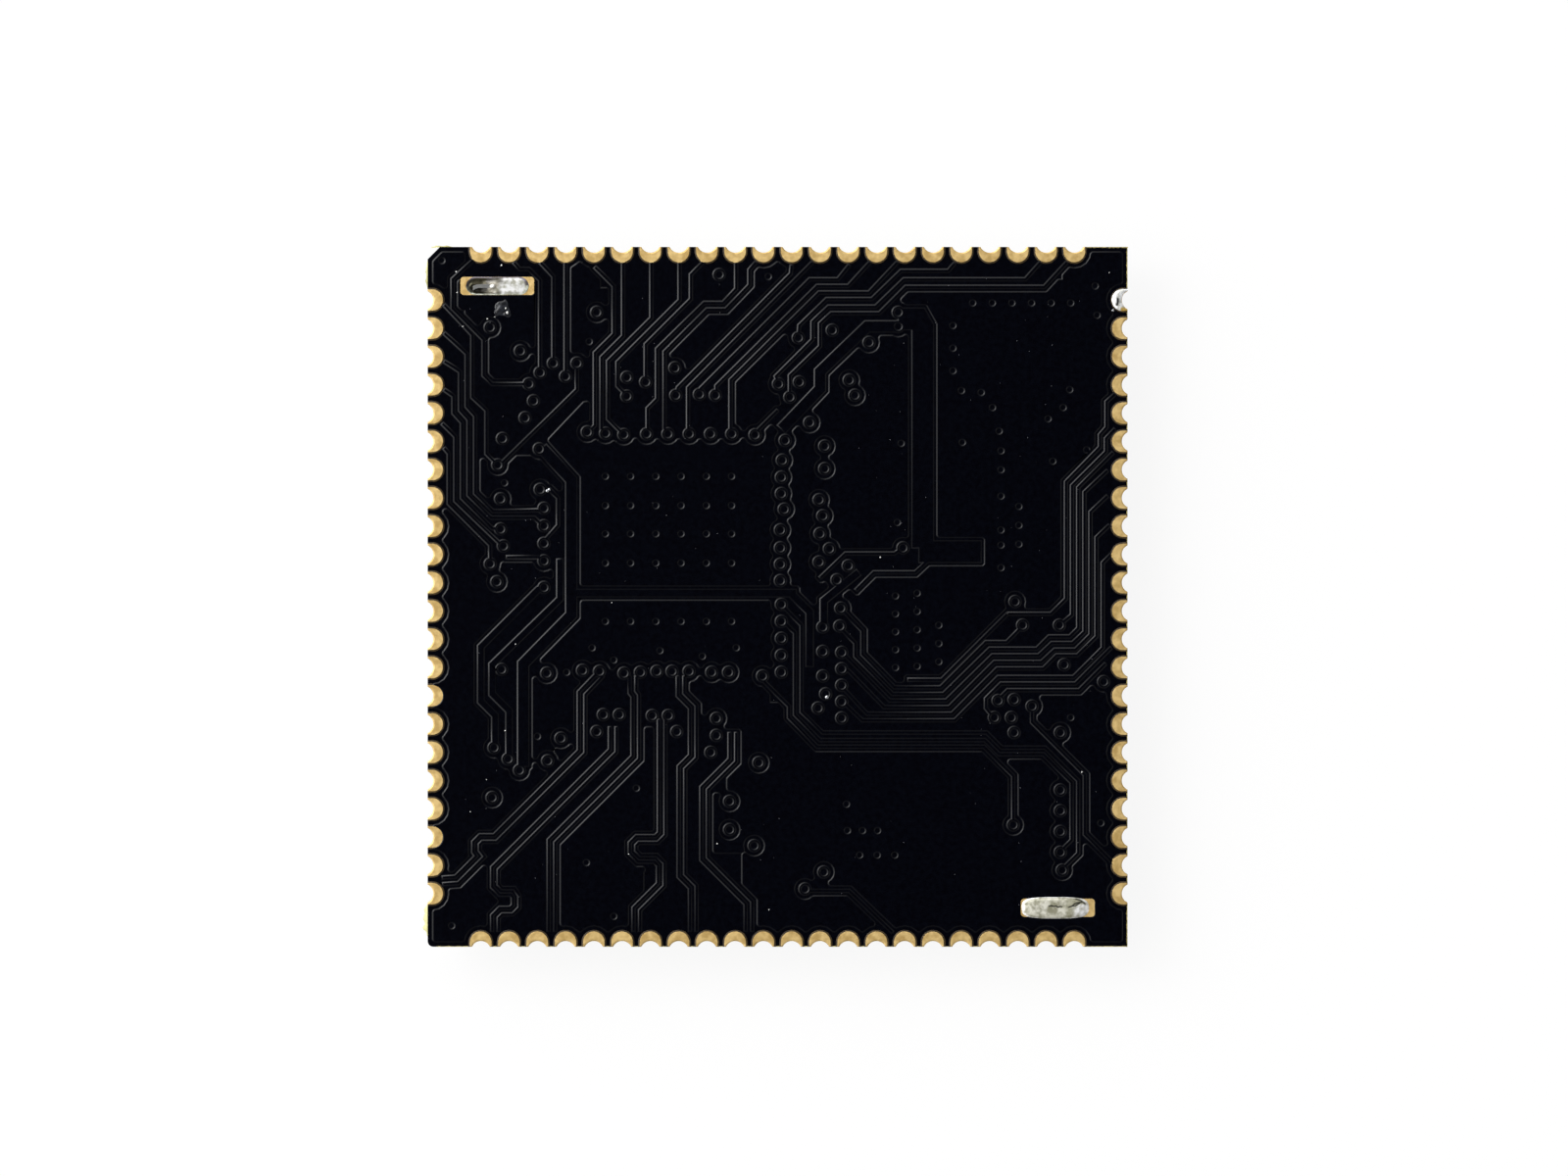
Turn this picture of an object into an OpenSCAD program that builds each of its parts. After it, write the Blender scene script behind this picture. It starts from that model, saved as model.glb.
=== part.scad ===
// Surface-mount wifi module with its solder side up.
// The board lies on the flat top of its shield can: the origin is the centre of the can's top
// face, +Z points towards the solder side and all sizes are in millimetres.

/* [Board] */
// Length of each side of the square board
board_w = 37.14; // [34:0.02:40]
// Thickness of the laminate
board_t = 1; // [0.8:0.1:1.6]
// Thickness of the solder mask film
mask_t = 0.025; // [0.02:0.005:0.03]
// Height of the etched copper, which the mask follows
copper_t = 0.035; // [0.02:0.005:0.05]
// Leg of the corner that is cut off at the top left
corner_cut = 0.65; // [0.4:0.1:1.2]
// Radius of the bottom left corner
corner_r = 0.3; // [0.1:0.05:0.6]

/* [Castellations] */
// Distance from the board's corner to the first half hole's middle
pad_inset = 2.82; // [2.1:0.01:3]
// Spacing of the half holes
pad_pitch = 1.5; // [1.45:0.01:1.52]
// Width of each gold land
pad_w = 1.15; // [1.1:0.05:1.2]
// How far each land reaches in from the edge
pad_reach = 0.82; // [0.75:0.01:0.85]
// Radius of the drilled half hole
pad_hole_r = 0.53; // [0.5:0.01:0.54]
// How far the hole's centre lies outside the edge
pad_hole_out = 0.23; // [0.2:0.01:0.26]
// Thickness of the plating on the walls of holes and slots
plating_t = 0.035; // [0.025:0.005:0.05]
// Clearance between a land and the ground copper
pad_clear = 0.3; // [0.2:0.01:0.32]

/* [Solder side copper] */
// Width of a signal track
track_w = 0.17; // [0.15:0.01:0.2]
// Clearance between copper of different nets
gap = 0.18; // [0.15:0.01:0.2]
// Radius of the land round a via
via_land_r = 0.33; // [0.3:0.01:0.35]
// Clearance round a via that stands in the ground copper
via_clear = 0.23; // [0.2:0.01:0.3]
// Radius of the dimple that the mask leaves over a signal via
dimple_r = 0.21; // [0.15:0.01:0.24]
// Radius of the dimple that the mask leaves over a ground via
ground_dimple_r = 0.17; // [0.12:0.01:0.2]

/* [Shield can] */
// Distance from the can's walls to the board's edges
can_inset = 1.97; // [1.9:0.01:2.1]
// Height of the can
can_h = 2.2; // [2.2:0.1:3]
// Thickness of its sheet metal
sheet_t = 0.2; // [0.15:0.01:0.25]
// Outer bend radius between the top and the walls
can_bend_r = 0.4; // [0.3:0.05:0.6]
// Radius of the can's upright corners
can_corner_r = 0.8; // [0.7:0.1:1.2]
// Length of the two tabs that pass through the board
tab_l = 2.6; // [2:0.1:2.9]
// How far the tabs stop short of the solder side
tab_short = 0.15; // [0.05:0.05:0.3]
// Width of the gold frame that the can is soldered to
frame_w = 1; // [0.9:0.05:1.1]

/* [Slots] */
// Inner length of the plated slots
slot_l = 3.35; // [3.2:0.05:3.5]
// Inner width of the plated slots
slot_w = 0.8; // [0.7:0.02:0.84]
// Length of the gold pad round each slot
slot_pad_l = 3.92; // [3.8:0.02:4.1]
// Width of that pad
slot_pad_w = 0.96; // [0.94:0.01:1.1]
// Radius of that pad's corners
slot_pad_r = 0.18; // [0.1:0.01:0.25]
// How far solder flows over the long edges of the pad
solder_over = 0.13; // [0.05:0.01:0.2]
// Distance of each slot's middle from the board's centre line
slot_x = 14.87; // [14.5:0.05:15]
// Length of the high end of the solder in the partly filled slot
part_fill_l = 2.1; // [1.5:0.1:2.4]
// Depth of its low end below the board's face
part_fill_d = 0.35; // [0.2:0.05:0.6]

/* [Parts inside the can] */
// Height of the solder between packages and mask
joint_t = 0.06; // [0.05:0.01:0.1]
// Side of the processor package
cpu_w = 12; // [10:0.5:12]
// Height of the processor package
cpu_h = 0.85; // [0.7:0.05:1.2]
// Side of the bare pad under the processor
cpu_pad_w = 8; // [6:0.5:9]
// Contacts along each side of the processor
cpu_contacts = 24; // [16:1:24]
// Spacing of those contacts
cpu_pitch = 0.4; // [0.35:0.05:0.4]
// Length of the memory package
memory_l = 11; // [9:0.5:11.5]
// Width of the memory package
memory_w = 8; // [6:0.5:8.5]
// Height of the memory package
memory_h = 0.9; // [0.7:0.05:1.1]
// Spacing of the memory's solder balls
ball_pitch = 0.8; // [0.65:0.05:0.8]
// Radius of the memory's solder balls
ball_r = 0.2; // [0.15:0.01:0.25]
// Height of the memory's solder balls
ball_h = 0.25; // [0.2:0.01:0.3]
// Length of the flash memory package
flash_l = 6; // [5:0.5:6.5]
// Width of the flash memory package
flash_w = 5; // [4:0.5:5.5]
// Height of the flash memory package
flash_h = 0.75; // [0.6:0.05:0.9]
// Side of the radio amplifier package
radio_w = 5; // [4:0.5:5]
// Height of the radio amplifier package
radio_h = 0.8; // [0.7:0.05:0.9]
// Length of the crystal
crystal_l = 3.2; // [2.5:0.1:3.4]
// Width of the crystal
crystal_w = 2.5; // [2:0.1:2.6]
// Height of the crystal
crystal_h = 0.7; // [0.6:0.05:0.9]
// Side of each power inductor
coil_w = 2.5; // [2:0.1:2.8]
// Height of each power inductor
coil_h = 1.2; // [1:0.05:1.3]
// Length of a small capacitor or resistor
chip_l = 1; // [0.8:0.1:1.1]
// Width of a small capacitor or resistor
chip_w = 0.5; // [0.4:0.05:0.6]
// Length of a radio filter
filter_l = 2; // [1.6:0.1:2.2]
// Width of a radio filter
filter_w = 1.25; // [1:0.05:1.4]

/* [Hidden] */
$fn = 48;

half = board_w / 2;
land_t = mask_t + 0.02;
board_z = can_h + land_t;
mask_z = board_z + board_t;
top_z = mask_z + mask_t + copper_t;
land_z = mask_z + land_t;
joint_z = board_z - mask_t - joint_t;
pads_per_side = floor((board_w - 2 * pad_inset) / pad_pitch + 0.01) + 1;
first_pad = (pads_per_side - 1) / 2 * pad_pitch;
can_w = board_w - 2 * can_inset;
can_edge = can_w / 2;
coil_x = -can_edge + 2.4;
slots = [[-slot_x, can_edge - sheet_t / 2], [slot_x, -can_edge + sheet_t / 2]];
// Width of a power track, and of the wide line that feeds the antenna pads
wide = 0.6;
feed = 1.15;
// Bare strip along the board's edges
edge_clear = 0.27;
// Allowances for merging shapes and for ground copper that is too narrow to etch
etch = 0.01;
sliver = 0.31;
// Sides are numbered clockwise from the top, pads from each side's first corner
ground_pads = [[3, 7], [3, 2]];
tinned_pad = [1, 0];

// Places of the parts inside the can
cpu_at = [-5.8, 2.5];
memory_at = [-6, -10.2];
flash_at = [8, -11];
radio_at = [7.4, -1.85];
crystal_at = [-9.5, 12];
coils = [[coil_x, 5.5], [coil_x, 1.5], [coil_x, -2.5]];
filters = [[11.5, 8], [11.5, 4.5], [11.5, 1]];
// Rows of small parts: first one, step to the next, number
capacitor_rows = [[[-11, 9.8], [1.6, 0], 8], [[1.6, -3], [0, 1.2], 9], [[coil_x, -6], [0, -1.4], 6]];
resistor_rows = [[[-11, -4.7], [1.6, 0], 8], [[4, -7], [1.6, 0], 5], [[4, 5], [0, 1.4], 6]];

// Signal tracks on the solder side, by area: number of parallel tracks and the route of the first.
// The others lie to its left, one track pitch apart each.
routes = [
    // top row of pads, left half
    [1, [[-16, 18], [-17.25, 16.85], [-17.25, 15.3], [-15.6, 13.65], [-15.6, 11.75], [-15.15, 11.3],
         [-13.2, 11.3]]],
    [1, [[-14, 17.75], [-13.7, 17.4], [-13.2, 17.4], [-12.6, 16.8], [-12.6, 11.9]]],
    [1, [[-12.6, 17.75], [-11.9, 17], [-11.9, 12.4]]],
    [1, [[-11.25, 17.75], [-11.25, 11.7]]],
    [1, [[-9.7, 17.5], [-8.7, 16.5], [-8.7, 13.95], [-9.7, 12.95], [-9.7, 9.1], [-10.1, 8.7]]],
    [1, [[-8.2, 17.75], [-8.2, 13.85], [-9.35, 12.7], [-9.35, 8.95], [-9.1, 8.7]]],
    [1, [[-6.7, 17.75], [-6.7, 14.8], [-9, 12.5], [-9, 9.45], [-8.2, 8.65]]],
    [1, [[-5.2, 17.75], [-5.2, 15.75], [-8.5, 12.45], [-8.5, 11.2], [-8, 10.7]]],
    [1, [[-3.95, 17.75], [-4.6, 17.1], [-4.6, 15.8], [-7, 13.4], [-7, 11.45]]],
    [1, [[-2.2, 17.75], [-2.2, 16.35], [-2.9, 15.6], [-3.9, 15.6], [-6.4, 13.15], [-6.4, 10.5],
         [-6.9, 10], [-6.9, 8.65]]],
    [1, [[-1.15, 17.75], [-1.5, 17.35], [-1.5, 16.55], [-2.75, 15.25], [-3.75, 15.25], [-6, 13],
         [-6, 8.95], [-5.8, 8.65]]],
    // top row of pads, right half
    [1, [[0.75, 17.6], [0.7, 17.15], [-5.3, 11.1], [-5.4, 10.7]]],
    [1, [[1.85, 17.75], [-4.75, 11.1], [-4.75, 8.6]]],
    [1, [[3.8, 17.6], [3.2, 16.85], [1.7, 16.85], [-4.1, 11.05], [-4.15, 10.75]]],
    [1, [[4.9, 17.75], [3.75, 16.5], [2.1, 16.5], [-3.25, 11.2], [-3.25, 10.7]]],
    [1, [[6.35, 17.75], [4.85, 16.15], [2.2, 16.15], [-2.5, 11.5], [-2.5, 8.65]]],
    [1, [[9.4, 17.7], [9.05, 17.3], [6.55, 17.3], [5, 15.8], [2.6, 15.8], [1.15, 14.4], [1.1, 13.8]]],
    [1, [[13.95, 17.75], [13.15, 16.85], [6.7, 16.85], [5.2, 15.4], [2.7, 15.4], [1.85, 14.6],
         [1.85, 13.65], [-0.1, 11.7], [0.1, 11.2]]],
    [1, [[15.35, 17.75], [14.15, 16.45], [6.8, 16.45], [5.4, 15.05], [2.85, 15.05], [2.25, 14.5],
         [2.25, 13.3], [0.65, 11.75], [0.65, 10.6]]],
    [1, [[0, 9.9], [-1.2, 8.7]]],
    // left row of pads
    [1, [[-17.7, 15.5], [-16.2, 13.9], [-16.2, 10.6], [-15.45, 9.9], [-15.45, 7.6], [-14.8, 6.95]]],
    [1, [[-17.7, 14], [-16.5, 12.9], [-16.5, 10.1], [-16.05, 9.6], [-16.05, 5.5], [-15.1, 4.55],
         [-12.6, 4.6]]],
    [1, [[-17.7, 12.5], [-16.85, 11.95], [-16.85, 9.9], [-16.4, 9.4], [-16.4, 5.4], [-15.2, 4.2],
         [-12.9, 4.2], [-12.5, 3.8]]],
    [1, [[-17.7, 11], [-17.2, 10.65], [-17.2, 9.75], [-16.75, 9.25], [-16.75, 5.25], [-15.15, 3.65],
         [-14.7, 3.6]]],
    [1, [[-17.8, 9.2], [-17.1, 8.5], [-17.1, 5.1], [-14.6, 2.7]]],
    [1, [[-17.7, 7.9], [-17.45, 7.6], [-17.45, 4.95], [-15.25, 2.75], [-15.25, 1.8]]],
    // left half, between the vias
    [1, [[-10.65, 12.4], [-10.65, 11], [-14.8, 6.95]]],
    [1, [[-12.6, 5.7], [-12.1, 5.7], [-11.65, 5.25], [-11.65, 3.8], [-12.45, 2.9]]],
    [1, [[-14.4, 2.1], [-12.6, 2.1]]],
    // bottom row of pads, in pairs from the left
    [2, [[-9.5, -3.95], [-10.55, -5.05], [-10.55, -8.15], [-15.05, -12.65], [-15.8, -12.65],
         [-16.15, -13], [-16.15, -13.55], [-16, -13.75], [-17.1, -14.85], [-17.8, -14.9]]],
    [2, [[-8.9, -6.9], [-8.9, -8.1], [-15.15, -14.35], [-15.15, -15.4], [-14.75, -15.8],
         [-14.15, -15.8], [-14.05, -15.95], [-14.05, -16.35], [-14.2, -16.5], [-14.75, -16.5],
         [-15.15, -16.9], [-15.15, -17.75]]],
    [2, [[-7.85, -4.2], [-7.85, -5.1], [-7.7, -5.3], [-7.7, -8.45], [-12.15, -12.9],
         [-12.15, -17.75]]],
    [2, [[-6.3, -6.5], [-6.3, -12.5], [-6.5, -12.7], [-7.5, -12.7], [-7.85, -13.05],
         [-7.85, -13.6], [-7.4, -14.05], [-6.55, -14.05], [-6.35, -14.25], [-6.35, -15.2],
         [-7.65, -16.5], [-7.65, -17.75]]],
    [2, [[-5.3, -4.2], [-5.3, -5.25], [-4.65, -5.9], [-4.65, -8.4], [-5.25, -9], [-5.25, -14.85],
         [-4.65, -15.45], [-4.65, -17.75]]],
    [2, [[-2.55, -7.2], [-2.55, -8.6], [-4.05, -10.1], [-4.05, -13.95], [-1.7, -16.3],
         [-1.7, -17.75]]],
    // middle: vertical tracks and the two fans to the right
    [1, [[-0.75, -4.2], [-0.75, -4.45], [0.6, -5.8], [0.6, -6.4], [2.1, -7.95], [10.95, -7.95],
         [12.5, -9.5], [12.5, -12.1]]],
    [1, [[0.2, -1.2], [0.92, -1.9], [0.92, -6.25], [2.25, -7.6], [11, -7.6], [11.75, -8.35],
         [14.1, -8.35], [15.6, -9.85], [15.6, -12.9], [15, -13.5]]],
    [1, [[0.2, -0.4], [1.27, -1.5], [1.27, -6.1], [2.4, -7.2], [11.1, -7.2], [11.9, -8],
         [14.2, -8], [15.95, -9.75], [15.95, -13.6], [15.1, -14.45]]],
    [1, [[13.5, -5.8], [13.5, -6.65], [16.3, -9.45], [16.3, -12.6], [17.75, -14.05]]],
    [1, [[3.35, -0.6], [4.5, -1.8], [4.5, -3.05], [6.2, -4.8], [8.65, -4.8], [11.05, -2.4],
         [12.15, -2.4], [12.7, -1.85], [13, -1.5]]],
    [1, [[3.25, -1.55], [4.12, -2.45], [4.12, -3.15], [6.1, -5.15], [8.8, -5.15], [11.25, -2.75],
         [13.75, -2.75], [14.4, -2.1], [15.5, -2.1], [15.95, -1.65], [15.95, 5.8], [17.8, 7.65]]],
    [1, [[3.45, -2.95], [5.95, -5.5], [8.95, -5.5], [11.4, -3.1], [13.85, -3.1], [14.55, -2.45],
         [15.65, -2.45], [16.28, -1.85], [16.28, 5.55], [17.5, 6.7]]],
    [1, [[3.3, -3.85], [3.75, -3.9], [5.65, -5.85], [9.1, -5.85], [11.5, -3.45], [14, -3.45],
         [14.7, -2.8], [15.8, -2.8], [16.6, -2], [16.6, 4.5], [17.5, 5.35]]],
    [1, [[3.4, -4.75], [4.75, -6.2], [9.25, -6.2], [11.65, -3.8], [14.1, -3.8], [14.8, -3.1],
         [15.9, -3.1], [16.92, -2.1], [16.92, 3.15], [17.6, 3.8]]],
    [1, [[3.5, -5.6], [4.5, -6.55], [9.4, -6.55], [11.7, -4.25], [15.7, -4.25], [17.25, -2.7],
         [17.25, 1.8], [17.7, 2.25]]],
    [1, [[11.45, -6.4], [11.05, -5.9], [11.05, -5.4], [11.85, -4.6], [15.8, -4.6], [17.7, -2.7]]],
    [1, [[11.65, -5.5], [12.2, -4.95], [16, -4.95], [17.4, -3.55]]],
    // right row of pads, inner end of the outer two tracks
    [1, [[12.2, -0.9], [14.5, -0.9], [15.3, -0.1], [15.3, 6.1], [17.1, 7.95], [17.1, 8.6],
         [17.45, 9], [17.45, 10.35], [17.9, 10.75]]],
    [1, [[14.95, -1.5], [15.62, -0.95], [15.62, 5.9], [17.42, 7.7], [17.42, 8.4], [17.9, 8.9]]],
    [1, [[12.2, -0.9], [8.7, -4.4], [6.9, -4.4]]],
    // lower right
    [1, [[1.45, -15.6], [3.8, -15.6], [6.1, -17.8]]],
    [1, [[4.15, 0.35], [5.1, 1.3], [7.3, 1.3], [8.05, 2]]],
    [1, [[2.25, 1], [3.6, 2.3], [6.2, 2.3], [6.6, 2.6]]],
];

// Wide power and radio tracks: width and route
strips = [
    [wide, [[-12.5, 7.9], [-10.95, 6.2], [-10.95, -0.95], [-13.5, -3.55], [-13.5, -9]]],
    [wide - 0.2, [[-10.95, 0.2], [1, 0.2]]],
    [wide - 0.25, [[-11.55, 2], [-11.55, -0.1], [-15.15, -3.6], [-15.15, -5.15], [-14.25, -6.05],
                   [-14.25, -8.6]]],
    [wide - 0.25, [[-12.4, 0.5], [-12.7, 0.4], [-15.75, -2.65], [-15.75, -5.55], [-15, -6.3],
                   [-15, -8]]],
    [wide, [[0.2, 8.9], [2.25, 11.05], [2.25, 11.95], [4.75, 14.35], [6.35, 14.35]]],
    [wide - 0.2, [[0.7, 0.2], [1.7, -0.8], [1.7, -3.7]]],
    [wide - 0.2, [[4.3, 1.3], [2.45, -0.2], [2.45, -1.6]]],
    [feed, [[6.4, 14.75], [7.45, 14.75], [7.7, 14.3], [7.7, 2.6]]],
    [feed, [[7.5, 2.4], [10.8, 2.4]]],
];

// Vias in the ground copper, where only the dimple shows: first via, step to the next, number
ground_vias = [
    [[-17.82, 17.85], [0, 0], 1],
    [[-9.15, 6.4], [1.34, 0], 6], [[-9.15, 4.85], [1.34, 0], 6], [[-9.15, 3.35], [1.34, 0], 6],
    [[-9.15, 1.8], [1.34, 0], 6], [[-9.15, -1.3], [1.34, 0], 6],
    [[10.35, 15.6], [1.04, 0], 6], [[16.85, 16.5], [0.1, -1.55], 2], [[9.3, 14.4], [0, -1.2], 3],
    [[9.75, 10.95], [1.05, -0.1], 2], [[11.4, 10.05], [0.35, -1.25], 2], [[11.85, 7.75], [0, -1], 2],
    [[11.85, 5.35], [0, -1.8], 2], [[11.85, 2.75], [0, -1.2], 2], [[12.8, 4.8], [0, -1], 3],
    [[15.5, 11], [-0.35, -0.95], 2], [[14.35, 9.45], [0.25, -2.25], 2], [[9.8, 8.2], [0, 0], 1],
    [[16.4, 7.8], [0, 0], 1], [[6.55, 8.15], [0, 0], 1], [[6.35, 3.95], [0, 0], 1],
    [[6.25, 0.05], [0, -0.95], 5], [[7.4, 0.2], [0, -0.97], 5], [[8.55, -1.5], [0, -0.97], 3],
    [[3.65, -11], [0, 0], 1], [[3.7, -12.4], [0.8, 0], 3], [[4.35, -13.7], [0.93, 0], 3],
    [[-8.7, -3.35], [2.45, 0.5], 2], [[-4, -3.15], [1.8, 0.45], 2], [[-9.85, -2.7], [0, 0], 1],
    [[-12.75, -7.4], [0, 0], 1], [[-7.5, -10.15], [0, 0], 1], [[-10.15, -14.1], [0, 0], 1],
    [[-8.7, -16.95], [0, 0], 1], [[-17.3, -17.45], [0, 0], 1], [[17.15, -12], [0, 0], 1],
    [[15.55, -6.4], [0, 0], 1], [[-10, 13.55], [0, 0], 1], [[-0.5, 17], [0, 0], 1],
    [[10.75, 2.4], [0, 0], 1], [[7.85, 3.1], [-0.35, -0.8], 2], [[7.6, 15.05], [0, 0], 1],
    [[-12.4, -1.2], [0, 0], 1], [[-11.2, -4], [0, 0], 1], [[-14.5, 6.05], [0, 0], 1],
];

// Vias with a land of their own: first via, step to the next, number
signal_vias = [
    [[-13.2, 11.3], [0, 0], 1], [[-12.6, 11.9], [0.7, 0.5], 2], [[-11.25, 11.7], [0.6, 0.7], 2],
    [[-13.65, 13.05], [0, 0], 1], [[-15.25, 14.3], [0, 0], 1], [[-12.95, 10.4], [-0.45, -0.9], 2],
    [[-9.6, 15.1], [0, 0], 1], [[-14.6, 8.4], [-0.25, -1.4], 2], [[-14.7, 5.2], [0, -1.6], 2],
    [[-14.55, 2.7], [-0.7, -0.95], 2], [[-14.9, 0.8], [0, 0], 1], [[-12.65, 7.85], [0.05, -2.15], 2],
    [[-12.4, 4.7], [0, -0.93], 4], [[-12.4, 0.5], [0, 0], 1], [[-10.1, 8.75], [0.97, -0.07], 3],
    [[-6.95, 8.65], [1.13, 0], 5], [[-1.2, 8.6], [0, 0], 1], [[-8, 11.65], [0, -1], 2],
    [[-7, 11.4], [0, 0], 1], [[-5.45, 12.15], [0.05, -1.45], 2], [[-4.15, 10.75], [0.85, -0.05], 2],
    [[-3.1, 17.1], [0, 0], 1], [[1.15, 11.4], [-0.5, -0.8], 2], [[0.05, 11.3], [0, 0], 1],
    [[1.1, 13.75], [0, 0], 1], [[2.9, 14.15], [0, 0], 1], [[4.85, 13.5], [0, 0], 1],
    [[3.8, 11.5], [0.3, -0.8], 2], [[1.7, 9.25], [0, 0], 1], [[0.4, 8.3], [-0.15, -1.05], 2],
    [[0.2, 6.35], [0, -0.87], 2], [[0.35, 4.65], [-0.2, -1.1], 2], [[0.15, 2.6], [0, -0.87], 3],
    [[2.5, 8], [0, -1.2], 2], [[2.2, 5.15], [0.2, -0.85], 2], [[2.25, 3.35], [0, 0], 1],
    [[2.75, 2.55], [-0.55, -0.7], 2], [[3.75, 1.65], [-0.6, -0.75], 2], [[6.4, 15.1], [0, -0.75], 2],
    [[6.65, 2.6], [0, 0], 1], [[0.2, -0.4], [0, -0.9], 5], [[-0.8, -4.2], [0, 0], 1],
    [[-10.35, -3.9], [0.9, -0.05], 2], [[-8.15, -4.05], [0.87, 0.05], 3], [[-5.6, -3.95], [0.9, 0], 2],
    [[-3.5, -4], [0.9, 0], 2], [[-9.25, -6.25], [0.85, 0], 2], [[-6.65, -6.3], [0.85, 0], 2],
    [[-9.6, -7.15], [4.25, 0], 2], [[-3.25, -6.45], [0, -0.9], 2], [[-3.55, -8.25], [0, 0], 1],
    [[-1, -8.8], [0, 0], 1], [[-2.55, -10.85], [0, -1.5], 2], [[-1.25, -13.2], [0, 0], 1],
    [[-14.65, -3.85], [2.4, -0.2], 2], [[-11.5, -7.5], [-0.7, -1.2], 2], [[-15.05, -8], [0.75, -0.6], 2],
    [[-13.7, -9.2], [0, 0], 1], [[-15.15, -10.65], [0, 0], 1], [[2.4, -1.6], [0, -1.3], 3],
    [[2.55, -5.15], [-0.4, -0.75], 2], [[3.35, -0.6], [-0.05, -0.95], 2], [[3.4, -2.95], [0, -0.87], 5],
    [[12.6, -0.25], [0.4, -1.25], 2], [[14.95, -1.5], [0, 0], 1], [[15.2, -3.6], [0, 0], 1],
    [[17.3, -4.5], [0, 0], 1], [[11.7, -5.5], [0.85, 0.05], 2], [[13.5, -5.8], [0, 0], 1],
    [[11.5, -6.4], [0.9, 0], 2], [[12.55, -7.2], [0, 0], 1], [[15, -7.2], [0, 0], 1],
    [[12.5, -12.1], [0, 0], 1], [[15, -10.25], [0, -1.1], 4], [[15.1, -14.5], [0, 0], 1],
    [[2.45, -14.6], [-1, -0.9], 2],
];

function unit(v) = v / norm(v);
function left_of(v) = [-v.y, v.x];

// Point i of route p moved to the left by d, with a mitre where the route turns
function beside(p, i, d) =
    let (a = unit(p[max(i, 1)] - p[max(i, 1) - 1]),
         b = unit(p[min(i, len(p) - 2) + 1] - p[min(i, len(p) - 2)]),
         m = left_of(a) + left_of(b))
    p[i] + m * (2 * d / (m * m));

// Outline of a band along route p, from l to its left to r to its right
function band(p, l, r) = concat([for (i = [0:len(p) - 1]) beside(p, i, l)],
                                [for (i = [len(p) - 1:-1:0]) beside(p, i, -r)]);

// Areas between tracks that keep no ground copper: lower left corner, width and height
bare = [
    [-18.3, 5.8, 1.7, 9.4], [-16.6, 17.15, 3.4, 1.25], [-12.3, 16.9, 0.9, 1.5], [-9.4, 16.4, 1.1, 2],
    [-8.2, 13.6, 2.8, 4.8], [-5, 15.5, 2.6, 2.9], [-1.8, 17.4, 0.4, 1], [-8.9, 8.85, 6.3, 2.9],
    [-8.4, 11.7, 1.3, 1.8], [-16.1, 7.5, 0.6, 4.7], [-15.6, 7.5, 2.5, 3.8], [-14.4, 2.2, 1.7, 1.9], [-12.2, 2, 0.9, 3.4],
    [-14.9, -5.9, 1, 3], [-10, -8.9, 0.9, 1.4], [-8.9, -7.2, 1, 0.6], [-7.3, -6.9, 2.5, 2.55],
    [-5.8, -9.2, 1, 1.7], [-4.7, -10.4, 2, 2.8], [-6.4, -14.3, 1, 1.8], [-7.1, -18.4, 2.3, 3.8],
    [-4.7, -18.4, 2.8, 4.8], [0.9, 16.85, 14.2, 1.55], [1.2, 10.6, 0.7, 2], [5.6, 1.5, 1.8, 1],
    [4.1, 1.1, 1.5, 1], [16.6, -2.2, 1.8, 8.7], [12.4, -2.6, 2.1, 1.5], [2, -2.6, 1.8, 0.7],
    [2, -3.8, 1, 0.6], [1.4, -5.9, 0.6, 2.1], [2, -7, 2.6, 0.6], [2, -6.5, 1.1, 0.9],
    [-0.4, -5.6, 1.2, 1.3], [9.2, -7, 2.1, 1.4], [11.2, -7.8, 1.1, 1.1], [15.7, -3.9, 0.6, 0.6],
    [14.2, -4.1, 0.6, 0.5], [-4.65, -13.65, 0.4, 3.3], [-16.85, 16.97, 3.7, 0.2], [11.5, -2.15, 0.95, 0.9],
    [-8.35, -8.5, 0.4, 1.35], [-15.5, -13.95, 0.85, 0.7], [4.15, 16.35, 0.85, 0.6], [-4.05, -7.25, 0.5, 0.7],
];
// The same where they have slanted sides
bare_corners = [
    [[-14.7, -18.4], [-12.35, -18.4], [-12.35, -12.2], [-14.7, -14.5]],
    [[-12.9, 12], [-9.9, 12], [-9.9, 10.4], [-10.3, 10.35], [-12.2, 8.35], [-12.9, 8.9]],
    [[2.4, 12.8], [2.9, 12.8], [4.6, 14.5], [4.6, 14.9], [2.4, 14.9]],
    [[12.8, -6], [13.3, -6], [14.3, -7.2], [14.3, -7.8], [12.8, -7.8]],
    [[-10, -6], [-7.9, -6], [-7.95, -4.5], [-8.8, -4], [-10, -5.2]],
    [[-15.5, -3], [-15.25, -3.25], [-12.05, -0.2], [-12.3, 0.1], [-12.7, 0.05]],
    [[3.85, -4.8], [4.2, -4.6], [5.3, -5.7], [5, -6.05]]
];

// Children at each castellation, with the board's edge along their X axis
module at_pads(skip = []) {
    for (side = [0:3], i = [0:pads_per_side - 1])
        if (search([[side, i]], skip) == [[]])
            rotate(-90 * side) translate([-first_pad + i * pad_pitch, half]) children();
}
module at_pad(place) {
    rotate(-90 * place[0]) translate([-first_pad + place[1] * pad_pitch, half]) children();
}
// Children along rows of first place, step and number
module in_rows(rows) {
    for (r = rows, k = [0:r[2] - 1]) translate(r[0] + k * r[1]) children();
}
module at_slots() {
    for (s = slots) translate(s) children();
}

// A slot's outline with its round ends, grown by g
module slot_shape(g) {
    r = slot_w / 2 + g;
    square([slot_l - slot_w, 2 * r], center = true);
    for (s = [-1, 1]) translate([s * (slot_l - slot_w) / 2, 0]) circle(r);
}

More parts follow.
